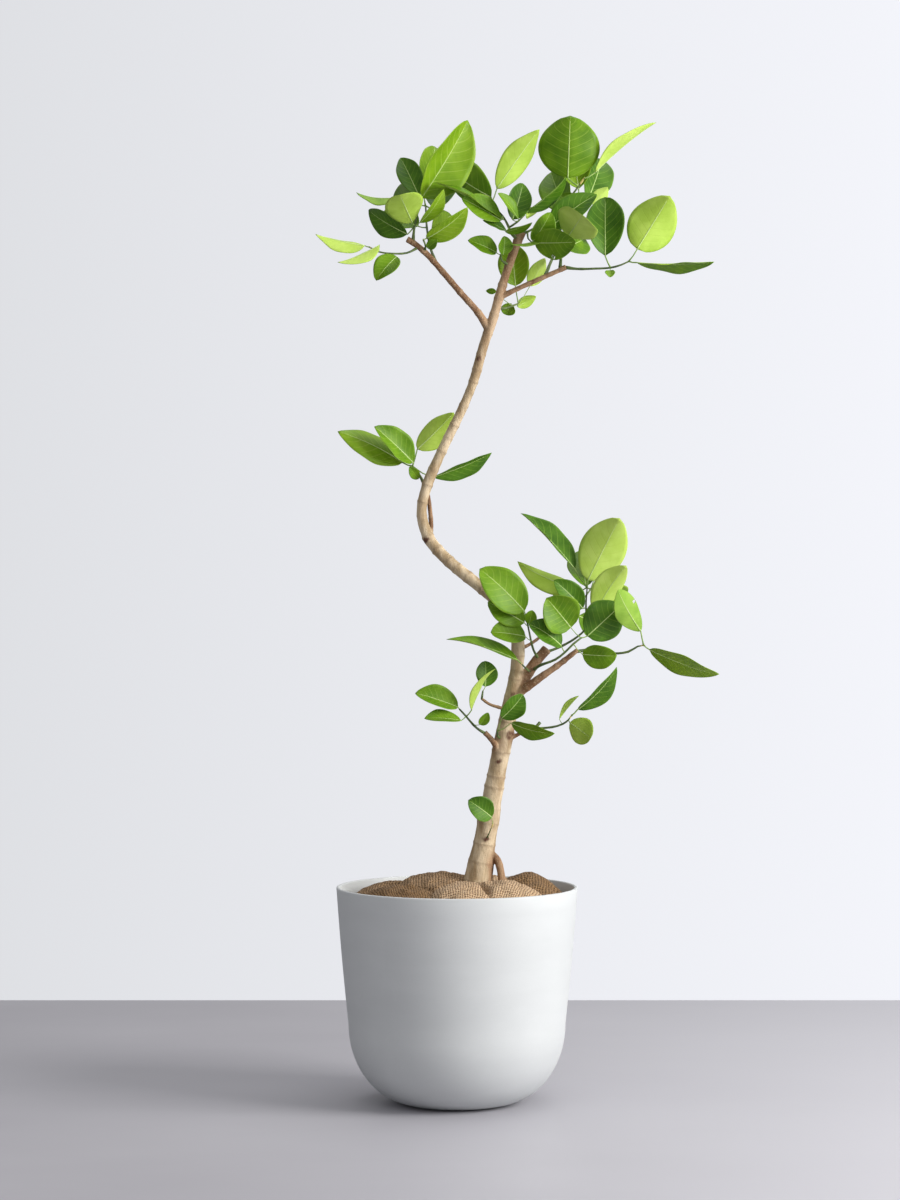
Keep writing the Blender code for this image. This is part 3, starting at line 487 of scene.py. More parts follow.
# Painted light and shade: puffs in the light are coloured pale beige, puffs in shade dark brown.
pale = attribute(tree, "paintedPuffLight")
strand = ease(tree, fibres.outputs["Speck"], 0.40, 0.66)
jute = blend(tree, pale, blend(tree, strand, (0.100, 0.045, 0.012, 1), (0.270, 0.155, 0.062, 1)),
             blend(tree, strand, (0.520, 0.345, 0.200, 1), (0.740, 0.560, 0.390, 1)))
jute = blend(tree, mathNode(tree, "MULTIPLY", fibres.outputs["Patch"], 0.2), jute, (0.26, 0.150, 0.065, 1))
# Painted shade: the gaps between the threads are coloured near black, less dark on the puffs painted as lit.
gapShade = blend(tree, pale, (0.028, 0.012, 0.004, 1), (0.120, 0.068, 0.032, 1))
jute = blend(tree, mathNode(tree, "MULTIPLY", threads.outputs["Gap"], 0.9), jute, gapShade)
tree.links.new(jute, surface.inputs["Base Color"])
tree.links.new(relief(tree, threads.outputs["Height"], 0.9, 0.0016), surface.inputs["Normal"])
cloth.data.materials.append(hessianMaterial)
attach(cloth, "root")
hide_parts("hessian")
print("hessian gathered")

# The limbs, given as the front view shows them: way points (x, z, depth, thickness) in centimetres,
# x and z in the upright plane through the planter's axis, depth away from the viewer.
trunkWay = [(2.9, 30.5, 0.0, 6.2), (3.1, 34.0, 0.0, 5.2), (4.5, 42.5, -0.4, 3.8), (6.5, 54.0, -1.0, 3.1),
         (8.2, 62.5, -1.6, 2.8), (9.8, 71.0, -2.2, 2.25), (10.1, 76.0, -2.3, 2.1), (9.3, 79.6, -2.0, 2.0),
         (7.0, 82.7, -1.2, 2.0), (3.6, 85.6, 0.0, 2.0), (-1.3, 89.6, 1.6, 1.95), (-4.5, 93.2, 2.5, 1.9),
         (-5.85, 97.5, 2.8, 1.8), (-5.1, 101.8, 2.6, 1.75), (-2.9, 107.1, 2.1, 1.65), (2.2, 118.0, 1.3, 1.5),
         (4.6, 126.0, 1.0, 1.6), (6.0, 130.0, 1.0, 1.6), (7.9, 136.6, 1.1, 1.45), (9.7, 141.8, 1.3, 1.5),
         (10.7, 144.3, 1.3, 1.75)]

boughs = {
    "prop_root": ("trunk_lower", [(5.0, 41.6, -0.4, 1.2), (6.6, 40.2, -1.0, 1.25), (7.25, 38.2, -1.2, 1.3),
                                  (7.5, 35.6, -1.2, 1.5), (7.6, 31.5, -1.2, 1.6)]),
    "spur_low_right": ("trunk_lower", [(8.0, 59.8, -1.5, 0.85), (9.6, 60.6, -1.7, 0.66),
                                       (11.2, 61.4, -2.0, 0.55),
                                       (12.6, 61.9, -2.3, 0.48)]),
    "bough_low_left": ("trunk_lower", [(7.2, 57.2, -1.3, 1.1), (6.4, 59.0, -2.5, 0.98),
                                       (5.6, 60.2, -2.9, 0.9),
                                       (4.6, 61.2, -3.1, 0.85)]),
    "twig_left": ("trunk_lower", [(8.7, 64.9, -1.8, 0.62), (6.9, 65.4, -3.0, 0.55), (5.4, 65.9, -3.2, 0.52),
                                  (4.0, 66.9, -3.4, 0.48)]),
    "bough_low_stub": ("trunk_lower", [(9.4, 67.4, -2.0, 2.05), (11.2, 70.2, -1.7, 1.85),
                                       (13.1, 73.0, -1.3, 1.72),
                                       (14.95, 75.1, -1.0, 1.7)]),
    "bough_low_right": ("trunk_lower", [(9.9, 67.6, -2.2, 1.7), (12.4, 69.3, -3.3, 1.35),
                                        (14.5, 70.8, -3.7, 1.15),
                                        (16.8, 72.4, -4.0, 1.0), (18.5, 73.7, -4.2, 0.9),
                                        (20.0, 74.9, -4.4, 0.8)]),
    "bough_low_behind": ("trunk_lower", [(10.1, 75.0, -2.3, 0.75), (11.8, 75.7, -0.6, 0.6),
                                         (13.2, 76.6, 0.6, 0.52),
                                         (16.7, 79.2, 2.2, 0.42)]),
    "bough_mid": ("trunk_middle", [(-4.5, 93.2, 2.5, 0.95), (-4.3, 95.6, 4.2, 0.85), (-4.5, 98.3, 4.8, 0.75),
                                   (-4.9, 101.0, 4.9, 0.65), (-5.9, 103.3, 4.5, 0.55)]),
    "bough_top_left": ("trunk_upper", [(5.1, 128.4, 1.0, 1.45), (3.5, 130.9, 0.6, 1.15),
                                       (0.5, 134.3, -0.4, 1.08),
                                       (-2.4, 137.7, -1.2, 1.0), (-5.0, 140.6, -1.8, 1.0),
                                       (-7.0, 142.3, -2.3, 0.98),
                                       (-8.3, 143.1, -2.5, 1.1)]),
    "bough_top_right": ("trunk_upper", [(7.1, 133.4, 1.0, 1.0), (9.5, 134.6, 0.7, 0.85),
                                        (13.3, 136.3, 0.0, 0.82),
                                        (16.7, 137.8, -0.6, 0.78), (18.1, 138.45, -0.9, 1.0)]),
}

# The masses of leaves: carrier, twigs (the first is the stem), and leaves as foot (x, z, depth),
# tip (x, z, depth), width, turn about the leaf's length in degrees, and 1 or -1 for the side shown.
masses = {
    "leaves_top_left": ("bough_top_left", [
        [(-7.3, 142.4, -2.3, 0.6), (-7.2, 144.0, -2.6, 0.45), (-7.0, 145.4, -2.4, 0.36),
         (-6.5, 147.5, -1.6, 0.3),
         (-6.1, 149.0, -1.2, 0.26)]], [
        (-5.9, 149.9, -1.0, 1.9, 162.8, -1.0, 9.6, 34, 1), (-6.3, 150.2, 1.2, -9.4, 156.7, 4.5, 4.5, 10, 1),
        (-8.1, 150.3, -0.5, -16.7, 150.6, 0.5, 5.0, 80, -1),
        (-7.4, 145.8, -3.5, -9.5, 150.5, -13.0, 7.2, 0, -1),
        (-8.2, 143.9, -2.2, -14.8, 147.9, 1.0, 4.8, -25, 1),
        (-6.2, 145.8, -3.0, -2.1, 151.3, -4.5, 3.4, 50, 1)]),
    "leaves_bough_left": ("bough_top_left", [
        [(-5.5, 140.9, -1.9, 0.42), (-5.2, 141.9, -2.8, 0.32), (-5.6, 143.0, -3.4, 0.26)]], [
        (-5.1, 143.2, -3.4, 1.8, 148.3, -6.0, 5.2, 40, 1),
        (-4.9, 141.6, -3.0, -3.3, 143.0, -4.2, 1.7, 0, 1)]),
    "leaves_far_left": ("bough_top_left", [
        [(-6.3, 141.8, -2.1, 0.45), (-8.3, 140.8, -2.9, 0.34), (-10.8, 140.7, -3.4, 0.3),
         (-13.0, 141.0, -3.8, 0.28),
         (-14.6, 141.8, -4.0, 0.24)]], [
        (-15.3, 142.0, -4.2, -23.5, 143.9, -6.0, 4.4, 58, -1),
        (-12.9, 142.1, -5.0, -19.8, 139.2, -8.0, 4.0, 66, -1),
        (-10.0, 140.2, -3.7, -13.4, 136.3, -6.5, 4.4, 25, 1)]),
    "leaves_top_crown": ("trunk_upper", [
        [(10.2, 143.0, 1.3, 0.6), (9.0, 144.0, 0.3, 0.45), (8.5, 145.3, 0.0, 0.4), (7.6, 146.9, -0.2, 0.34),
         (6.4, 148.2, -0.1, 0.3), (5.8, 149.3, 0.2, 0.24)],
        [(8.6, 145.0, 0.0, 0.36), (10.1, 146.0, 0.4, 0.3), (11.2, 147.1, 0.7, 0.22)]], [
        (5.7, 150.0, 1.5, -1.9, 155.3, 8.5, 7.6, -25, 1), (6.6, 151.4, 2.2, 13.6, 161.3, 4.5, 5.2, 15, -1),
        (7.7, 146.3, -1.2, -3.6, 152.8, -3.0, 5.4, 78, 1), (7.3, 146.2, -1.6, 0.8, 149.9, -4.4, 4.6, 35, 1),
        (9.2, 146.3, -0.4, 11.0, 152.4, 1.0, 4.8, 15, 1), (10.2, 146.4, -1.4, 6.9, 150.8, -3.8, 3.0, 60, 1),
        (11.4, 147.6, 0.6, 18.2, 153.2, -1.6, 4.8, 68, 1), (8.2, 144.5, -1.4, 4.3, 146.2, -3.5, 2.4, 55, 1),
        (11.5, 146.9, 1.0, 13.4, 147.7, 2.6, 2.2, 40, -1),
        (8.0, 144.3, -2.0, 12.5, 145.8, -3.2, 2.6, 58, 1)]),
    "leaves_left_fork": ("trunk_upper", [
        [(8.6, 138.8, 1.1, 0.5), (7.4, 139.6, -0.4, 0.36), (7.2, 140.5, -0.9, 0.26)]], [
        (6.6, 140.8, -1.0, 1.8, 142.9, -2.2, 3.6, 30, 1), (7.7, 140.5, -1.4, 7.9, 143.6, -2.2, 3.0, 30, 1)]),
    "leaves_behind_fork": ("trunk_upper", [
        [(6.6, 131.8, 1.0, 0.5), (7.9, 131.6, 2.4, 0.4), (9.2, 132.0, 3.0, 0.32),
         (10.2, 132.4, 3.2, 0.26)]], [
        (9.7, 135.3, 3.9, 9.1, 142.3, 4.4, 5.6, 0, 1), (12.1, 135.3, 4.0, 14.6, 139.9, 5.4, 3.0, 0, -1),
        (9.0, 132.4, 4.2, 8.1, 130.5, 5.2, 2.6, 0, 1), (10.0, 131.9, 3.8, 13.1, 133.6, 5.0, 2.2, 0, -1),
        (6.5, 134.4, 3.0, 4.8, 134.5, 2.6, 1.1, 0, 1)]),
    "leaves_top_inner": ("trunk_upper", [
        [(10.6, 143.9, 1.3, 0.55), (11.9, 144.4, 1.2, 0.4), (13.2, 145.0, 1.6, 0.3),
         (14.6, 144.8, 2.0, 0.22)],
        [(11.7, 144.3, 1.2, 0.3), (11.8, 143.2, 0.2, 0.26), (12.4, 142.6, -0.6, 0.2)]], [
        (15.2, 144.8, 2.0, 23.2, 150.6, 1.4, 5.4, -20, 1), (12.6, 142.7, -0.8, 15.6, 147.5, -2.4, 4.4, 30, 1),
        (12.9, 142.5, -1.2, 19.7, 142.6, -5.0, 5.6, 20, 1),
        (16.0, 143.6, 0.2, 8.9, 142.0, -3.0, 2.6, 82, -1)]),
    "leaves_top_right": ("bough_top_right", [
        [(17.1, 138.0, -0.7, 0.6), (17.3, 140.4, 0.6, 0.45), (17.9, 143.3, 3.2, 0.42),
         (18.5, 147.0, 5.0, 0.38),
         (18.3, 149.8, 5.0, 0.34), (19.3, 150.7, 4.8, 0.3), (20.2, 151.9, 4.6, 0.34),
         (21.0, 153.1, 4.4, 0.14)]], [
        (18.4, 153.2, 4.4, 18.8, 163.6, 3.4, 11.6, 0, 1), (22.9, 154.1, 5.0, 33.0, 162.5, 6.5, 6.0, 76, -1),
        (22.6, 148.8, 6.0, 25.0, 151.7, 7.4, 2.6, 0, -1), (18.9, 147.6, 6.2, 17.2, 150.4, 7.8, 4.2, 0, 1),
        (18.4, 143.5, -1.6, 20.9, 147.1, -11.0, 8.4, 0, -1)]),
    "leaves_right_tip": ("bough_top_right", [
        [(17.9, 138.4, -0.9, 0.6), (20.0, 138.15, -1.3, 0.42), (23.0, 138.2, -1.7, 0.36),
         (25.5, 138.35, -1.9, 0.34),
         (27.2, 138.8, -2.1, 0.3), (28.5, 139.4, -2.2, 0.25)]], [
        (24.6, 140.3, -1.7, 24.6, 150.2, 1.6, 7.2, 0, 1), (29.9, 141.4, -2.6, 35.3, 150.2, -1.5, 8.6, 0, -1),
        (29.8, 139.2, -2.9, 42.7, 139.3, -5.0, 6.0, 76, 1),
        (25.4, 137.9, -2.5, 25.4, 136.8, -3.8, 1.8, 0, 1)]),
    "leaves_mid": ("bough_mid", [
        [(-5.6, 102.8, 4.55, 0.5), (-6.6, 104.5, 3.6, 0.36), (-7.4, 105.4, 3.0, 0.28)]], [
        (-9.0, 106.0, 2.6, -19.8, 111.2, 0.0, 6.2, 38, 1), (-7.3, 106.0, 2.2, -13.7, 112.0, -1.5, 5.6, 35, 1),
        (-6.6, 108.2, 4.6, -0.5, 114.3, 5.4, 5.2, -20, -1), (-6.4, 103.3, 3.4, -7.9, 105.3, 1.6, 1.8, 0, 1),
        (-4.0, 103.6, 5.4, 5.8, 107.6, 6.4, 4.2, 48, 1)]),
    "leaves_low_front": ("bough_low_stub", [
        [(12.7, 71.6, -1.5, 0.6), (13.9, 72.4, -4.4, 0.45), (16.3, 73.3, -5.4, 0.4), (17.9, 74.5, -5.6, 0.36),
         (19.3, 75.9, -5.6, 0.33), (20.6, 76.9, -5.4, 0.3)]], [
        (17.3, 75.6, -6.0, 12.0, 79.3, -8.5, 5.0, 35, 1), (18.9, 78.6, -6.2, 14.9, 83.5, -9.0, 7.2, 10, 1),
        (21.6, 77.2, -5.2, 27.2, 82.4, -4.0, 7.2, 15, 1), (20.8, 74.2, -6.2, 26.5, 73.9, -7.8, 4.6, 25, 1)]),
    "leaves_low_tall": ("bough_low_stub", [
        [(14.6, 74.5, -1.0, 0.5), (16.6, 75.2, 0.0, 0.42), (18.8, 76.3, 0.2, 0.38), (20.6, 77.6, 0.2, 0.34),
         (22.1, 79.2, 0.0, 0.3)],
        [(21.6, 78.6, 0.1, 0.32), (21.4, 82.0, 0.3, 0.28), (21.6, 85.3, 0.3, 0.24)]], [
        (19.6, 88.3, 1.2, 10.7, 97.7, 3.2, 6.0, 60, 1), (21.7, 86.4, 0.2, 27.0, 96.8, -1.2, 8.4, 5, -1),
        (22.9, 80.9, -1.0, 28.1, 88.9, -4.0, 5.6, 30, -1), (20.4, 84.8, 2.0, 10.0, 89.4, 4.5, 5.0, 40, -1),
        (20.9, 81.8, -0.8, 16.1, 86.5, -2.8, 4.6, 20, 1)]),
    "leaves_low_right": ("bough_low_right", [
        [(19.6, 74.6, -4.35, 0.55), (22.6, 75.0, -3.4, 0.45), (25.8, 74.35, -3.8, 0.42),
         (28.4, 74.6, -4.4, 0.38),
         (30.0, 75.5, -4.8, 0.3), (31.0, 75.7, -5.0, 0.14)]], [
        (30.5, 78.0, -5.2, 26.7, 84.9, -10.5, 5.0, 20, -1),
        (31.9, 75.0, -5.0, 43.4, 70.6, -7.5, 6.0, 55, 1)]),
    "leaves_low_centre": ("bough_low_stub", [
        [(13.6, 73.3, -1.3, 0.5), (12.7, 74.9, -3.3, 0.36), (12.3, 76.4, -3.9, 0.32),
         (11.8, 78.8, -4.4, 0.28),
         (11.4, 80.6, -4.9, 0.24)]], [
        (11.2, 81.3, -5.4, 3.8, 88.4, -7.0, 7.4, 20, 1), (11.2, 79.4, -5.2, 5.1, 82.9, -5.4, 4.6, 10, 1),
        (12.0, 79.2, -4.6, 12.5, 81.5, -5.0, 2.2, 0, 1), (11.4, 77.1, -5.2, 5.6, 77.9, -7.0, 4.8, 35, 1)]),
    "leaf_long": ("bough_low_stub", [
        [(12.2, 71.3, -1.6, 0.4), (11.6, 71.7, -4.4, 0.3), (10.5, 72.8, -6.2, 0.24)]], [
        (10.1, 73.2, -6.6, -1.7, 76.8, -7.4, 4.6, 64, 1)]),
    "leaves_low_left": ("bough_low_left", [
        [(4.8, 61.0, -3.0, 0.5), (3.6, 61.7, -3.6, 0.4), (2.7, 62.5, -3.8, 0.36), (1.5, 63.9, -4.0, 0.32),
         (0.4, 65.1, -4.2, 0.28)]], [
        (0.2, 65.4, -4.3, -6.9, 67.8, -6.0, 4.8, 35, 1), (0.7, 63.2, -4.8, -5.4, 63.6, -6.8, 3.4, 52, 1),
        (2.4, 64.9, -4.8, 6.2, 71.9, -7.0, 3.2, 66, -1), (3.8, 62.5, -4.6, 5.2, 64.5, -5.4, 1.9, 20, 1)]),
    "leaf_twig_left": ("twig_left", [
        [(4.1, 66.75, -3.4, 0.36), (4.3, 68.1, -3.5, 0.26)]], [
        (4.7, 68.8, -3.6, 4.7, 73.1, -3.0, 4.0, 20, 1)]),
    "leaves_trunk_front": ("trunk_lower", [
        [(7.6, 60.2, -1.4, 0.5), (6.7, 60.6, -3.7, 0.38), (6.7, 61.4, -4.4, 0.3)]], [
        (7.4, 63.6, -5.2, 11.0, 67.5, -5.8, 4.2, 30, 1), (9.0, 62.8, -5.4, 16.2, 61.0, -7.0, 3.8, 45, 1)]),
    "leaves_low_small": ("spur_low_right", [
        [(12.4, 61.85, -2.28, 0.42), (15.8, 62.1, -2.8, 0.36), (17.5, 62.6, -3.0, 0.34),
         (18.5, 63.3, -3.2, 0.3),
         (19.0, 64.0, -3.3, 0.14)],
        [(12.9, 61.9, -2.4, 0.4), (13.8, 62.9, -2.6, 0.55)]], [
        (20.0, 65.0, -3.6, 26.6, 72.0, -5.0, 4.8, 50, 1), (17.0, 63.4, -2.6, 20.2, 67.3, -1.0, 2.8, 72, -1),
        (18.7, 62.9, -3.8, 22.3, 60.2, -8.0, 4.6, 10, -1)]),
    "leaf_on_foot": ("trunk_lower", [
        [(4.8, 43.2, -0.6, 0.75), (5.15, 44.1, -2.9, 0.6), (5.5, 44.9, -3.3, 0.42),
         (5.95, 46.0, -3.6, 0.25)]], [
        (5.8, 47.1, -3.9, 1.9, 50.0, -5.2, 4.4, 15, 1)]),
    # Behind, the front view hides the crown, which is taken to be as full as it is in front.
    "leaves_back_left": ("bough_top_left", [
        [(-3.2, 138.6, -1.4, 0.55), (-4.4, 141.6, 3.0, 0.42), (-5.0, 145.0, 6.5, 0.36),
         (-5.2, 148.6, 9.0, 0.28)]], [
        (-5.6, 151.0, 10.0, -3.6, 158.6, 15.0, 6.0, 20, 1),
        (-6.6, 149.0, 9.4, -10.8, 149.4, 19.0, 6.4, 10, 1),
        (-3.6, 148.0, 9.0, -1.6, 153.4, 18.0, 6.0, -20, 1),
        (-6.4, 145.2, 7.0, -12.4, 147.6, 11.5, 5.6, 30, 1),
        (-4.2, 143.2, 6.6, -1.0, 147.2, 13.5, 5.2, 10, 1)]),
    "leaves_back_right": ("bough_top_right", [
        [(14.6, 136.9, -0.2, 0.6), (15.8, 139.8, 5.2, 0.45), (18.0, 144.4, 9.6, 0.38),
         (20.2, 149.0, 12.6, 0.28)]], [
        (20.2, 151.4, 13.4, 18.6, 161.4, 16.5, 7.2, 0, 1), (21.6, 149.4, 13.6, 24.0, 156.6, 20.0, 6.0, 20, 1),
        (18.4, 147.2, 12.4, 15.6, 154.2, 19.0, 6.2, -15, 1),
        (19.8, 145.0, 11.2, 26.2, 147.0, 18.5, 6.2, 20, 1),
        (16.6, 142.6, 9.4, 14.2, 146.0, 18.0, 5.6, 10, 1),
        (18.0, 141.6, 8.6, 21.4, 143.4, 16.5, 5.2, 10, 1)]),
    "leaves_back_low": ("bough_low_behind", [
        [(16.4, 79.0, 2.1, 0.4), (18.2, 80.4, 5.0, 0.36), (20.4, 82.6, 7.4, 0.3), (22.2, 85.0, 9.0, 0.25)]], [
        (22.8, 87.0, 9.6, 25.4, 94.6, 14.0, 6.4, 10, 1), (21.4, 85.4, 9.4, 20.6, 91.6, 16.5, 6.0, 0, 1),
        (23.4, 84.8, 9.6, 28.0, 83.6, 16.0, 5.6, 20, 1), (19.2, 82.2, 7.2, 16.0, 82.6, 16.0, 5.6, 0, 1),
        (20.2, 80.6, 6.8, 24.0, 79.0, 14.0, 5.6, 10, 1)]),
}


def seen(x, z, depth=0.0):  # a point of the front view, moved along its sight line to its depth
    flat = Vector((x * cm, 0.0, z * cm))
    return eye + (flat - eye) * ((depth * cm - eye.y) / -eye.y)


def smoothPath(points, step):  # (place, radius) along a smooth curve through the way points
    knots = [(seen(x, z, y), size * cm / 2) for x, z, y, size in points]
    first, last = knots[0], knots[-1]
    ring = [(first[0] * 2 - knots[1][0], first[1])] + knots + [(last[0] * 2 - knots[-2][0], last[1])]
    path = []
    for before, start, end, after in zip(ring, ring[1:], ring[2:], ring[3:]):
        span = (end[0] - start[0]).length
        count = max(1, round(span / step))
        pullIn = (end[0] - before[0]) * (span / (span + (start[0] - before[0]).length))
        pullOut = (after[0] - start[0]) * (span / ((after[0] - end[0]).length + span))
        for index in range(count):
            t = index / count
            spot = (start[0] * (2 * t**3 - 3 * t**2 + 1) + pullIn * (t**3 - 2 * t**2 + t)
                    + end[0] * (3 * t**2 - 2 * t**3) + pullOut * (t**3 - t**2))
            path.append((spot, start[1] + (end[1] - start[1]) * t))
    return path + [last]


def rod(name, path, roundness):  # a closed tapering tube along a path
    curve = bpy.data.curves.new(name, "CURVE")
    curve.dimensions = "3D"
    curve.bevel_depth = 1.0
    curve.bevel_resolution = roundness
    curve.use_fill_caps = True
    spline = curve.splines.new("POLY")
    spline.points.add(len(path) - 1)
    for point, (spot, radius) in zip(spline.points, path):
        point.co = (*spot, 1.0)
        point.radius = radius
    piece = bpy.data.objects.new(name, curve)
    scene.collection.objects.link(piece)
    return piece


def meshed(parts, name):  # curves turned into one mesh, with its caps merged on
    pick(*parts)
    bpy.ops.object.convert(target="MESH")
    whole = joined(parts, name)
    editAll(whole, (bpy.ops.mesh.remove_doubles, {"threshold": 0.00001}),
            (bpy.ops.mesh.normals_make_consistent, {"inside": False}))
    return whole


# Bark: every limb with its node rings and old leaf scars, run together and given its relief.
barkShape = {"seed": 11, "step": 0.003, "voxel": 0.0014, "ringEvery": (0.016, 0.040), "ringHeight": 0.13,
             "ringHalf": 0.0022, "lumps": 0.09, "knotRise": 0.0011,
             "knots": [  # dark knots on the trunk's front: x, z and radius in centimetres
                 (4.9, 43.7, 0.85), (8.8, 60.8, 0.85), (6.9, 56.6, 0.60), (-5.2, 93.1, 0.70),
                 (3.7, 123.2, 0.60), (-0.3, 104.5, 0.50), (9.4, 67.4, 0.70)]}
draw = random.Random(barkShape["seed"])
limbRods = []
limbSamples = []  # place, how far along, radius and youth, for the bark's colour
for name, (carrier, points) in {"trunk": ("", trunkWay), **boughs}.items():
    path = smoothPath(points, barkShape["step"])
    youth = {"trunk": 0.0, "prop_root": 1.0}.get(name, 1.0)
    older = list(limbSamples)
    along = draw.uniform(0.0, 5.0)
    nextRing = draw.uniform(*barkShape["ringEvery"])
    rings = []
    gone = 0.0
    for (start, _), (end, _) in zip(path, path[1:]):
        gone += (end - start).length
        if gone > nextRing:
            rings.append((gone, draw.uniform(0.5, 1.3)))
            nextRing = gone + draw.uniform(*barkShape["ringEvery"]) * (0.6 if youth else 1.0)
    dressed = []
    gone = 0.0
    for index, (spot, radius) in enumerate(path):
        if index:
            gone += (spot - path[index - 1][0]).length
        swell = sum(high * math.exp(-((gone - at) / barkShape["ringHalf"]) ** 2) for at, high in rings)
        lump = noise.noise(Vector((gone * 30, along * 9, 0))) * barkShape["lumps"]
        full = radius * (1 + lump) + min(radius, 0.008) * barkShape["ringHeight"] * swell
        dressed.append((spot, full))
        upper = 0.0 if name == "prop_root" else max(0.0, min(0.85, (spot.z - 1.18) / 0.20))
        if all((spot - other[0]).length > other[2] * 0.95 for other in older):
            limbSamples.append((spot, along + gone, radius, max(youth, upper), min(1.0, swell)))
    limbRods.append(rod(name + "_bark", dressed, 12 if name == "trunk" else 6))
bark = meshed(limbRods, "barkSkin")
finish(bark, "REMESH", mode="VOXEL", voxel_size=barkShape["voxel"])
finish(bark, "SMOOTH", factor=0.5, iterations=3)
editAll(bark, (bpy.ops.mesh.bisect, {"plane_co": (0, 0, 0.3256), "plane_no": (0, 0, 1), "clear_inner": True,
                                     "use_fill": True}))
limbTree = KDTree(len(limbSamples))
for index, sample in enumerate(limbSamples):
    limbTree.insert(sample[0], index)
limbTree.balance()
limbAlong, limbYouth, limbRing, limbKnot = [], [], [], []
outward = [vert.normal.copy() for vert in bark.data.vertices]
for vert, normal in zip(bark.data.vertices, outward):
    found = limbTree.find_n(vert.co, 9)
    _, along, radius, _, ring = limbSamples[found[0][1]]
    youth = sum(limbSamples[index][3] for _, index, _ in found) / len(found)
    grain = noise.noise(Vector((vert.co.x * 900, vert.co.y * 900, vert.co.z * 160)))
    bumps = noise.noise(vert.co * 130.0)
    inFront = eye + (vert.co - eye) * (-eye.y / (vert.co.y - eye.y))
    knot = 0.0
    if normal.y < 0.2:
        knot = max(math.exp(-(math.hypot(inFront.x - x * cm, inFront.z - z * cm) / (size * cm)) ** 2)
                   for x, z, size in barkShape["knots"])
    vert.co += normal * ((grain * 0.00016 + bumps * 0.00028) * min(1.0, radius / 0.006)
                         + knot * barkShape["knotRise"])
    limbAlong.append(along)
    limbYouth.append(youth)
    limbRing.append(ring)
    limbKnot.append(knot * (0.8 + 0.7 * bumps + 0.5 * grain))
setAttribute(bark, "limbAlong", limbAlong)
setAttribute(bark, "limbYouth", limbYouth)
setAttribute(bark, "limbRing", limbRing)
setAttribute(bark, "limbKnot", limbKnot)
bark.data.shade_smooth()

barkMaterial, tree, surface = newMaterial("treeBark", 0.78, specular=0.3)
here = objectSpace(tree)
stretched = objectSpace(tree, (1.0, 1.0, 0.28))
flecks = place(tree, mottle, Where=stretched, PatchScale=70.0, SpeckScale=520.0)
stains = speck(tree, here, 26.0, 4.0, 0.6)
pores = speck(tree, objectSpace(tree, (1.0, 1.0, 2.2)), 300.0, 1.5)
oldBark = blend(tree, ease(tree, flecks.outputs["Patch"], 0.34, 0.66), (0.370, 0.265, 0.150, 1),
                (0.640, 0.515, 0.350, 1))
oldBark = blend(tree, mathNode(tree, "MULTIPLY", ease(tree, stains, 0.56, 0.72), 0.55), oldBark,
                (0.235, 0.165, 0.075, 1))
youngBark = blend(tree, ease(tree, flecks.outputs["Patch"], 0.36, 0.68), (0.150, 0.062, 0.026, 1),
                  (0.330, 0.185, 0.095, 1))
youngBark = blend(tree, mathNode(tree, "MULTIPLY", ease(tree, pores, 0.60, 0.68), 0.7), youngBark,
                  (0.46, 0.33, 0.21, 1))
barkColour = blend(tree, mathNode(tree, "MULTIPLY", attribute(tree, "limbYouth"), 0.86), oldBark, youngBark)
barkColour = blend(tree, mathNode(tree, "MULTIPLY", ease(tree, pores, 0.66, 0.74), 0.5), barkColour,
                   (0.16, 0.10, 0.05, 1))
barkColour = blend(tree, mathNode(tree, "MULTIPLY", attribute(tree, "limbRing"), 0.45), barkColour,
                   (0.30, 0.21, 0.13, 1))
barkColour = blend(tree, ease(tree, attribute(tree, "limbKnot"), 0.15, 0.95), barkColour,
                   (0.100, 0.042, 0.024, 1))
tree.links.new(barkColour, surface.inputs["Base Color"])
rough = mathNode(tree, "MULTIPLY_ADD", flecks.outputs["Speck"], 0.3, 0.6)
tree.links.new(rough, surface.inputs["Roughness"])
skin = mathNode(tree, "MULTIPLY_ADD", pores, 0.5, flecks.outputs["Speck"])
skin = mathNode(tree, "MULTIPLY_ADD", flecks.outputs["Patch"], 0.8, skin)
tree.links.new(relief(tree, skin, 0.6, 0.0012), surface.inputs["Normal"])
bark.data.materials.append(barkMaterial)
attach(bark, "root")
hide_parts("trunk_lower", "trunk_middle", "trunk_upper", *boughs)
print("bark grown:", len(bark.data.polygons), "faces")

# Leaves: the source's rule, with a finer blade.
leafShape = {"seed": 7, "rows": 22, "columns": 12, "thickness": 0.00055, "ribWide": 0.0011,
             "wave": 0.05, "twigStep": 0.008, "slimStems": {"leaf_on_foot": 0.38}}
leafTonesAndLight = {  # which leaves of a mass are deep green or fresh yellow-green; the rest are between. This is partly each leaf's own tone and partly painted shade and light: some leaves in shade are made deep, and some shaded ones are made fresh as if lit through.
    "deep": {"leaves_top_inner": (0, 3), "leaves_right_tip": (0,), "leaves_top_crown": (4, 6, 7),
             "leaves_mid": (4,),
             "leaves_top_left": (1, 2, 4), "leaves_low_tall": (4, 0), "leaves_low_front": (0, 2),
             "leaves_low_right": (0,),
             "leaf_twig_left": (0,), "leaves_trunk_front": (0,), "leaves_low_small": (0,),
             "leaf_on_foot": (0,),
             "leaves_back_right": (1, 4), "leaves_back_left": (2,), "leaves_back_low": (3,)},
    "freshAndLit": {"leaves_top_left": (0, 5), "leaves_bough_left": (0,), "leaves_far_left": (0, 1),
              "leaves_behind_fork": (0, 1), "leaves_mid": (0,), "leaves_low_right": (1,),
              "leaves_low_left": (2,), "leaves_top_right": (1, 2, 4), "leaves_low_tall": (1, 2),
              "leaves_back_right": (0, 3), "leaves_back_left": (0, 4), "leaves_back_low": (0, 2)},
}
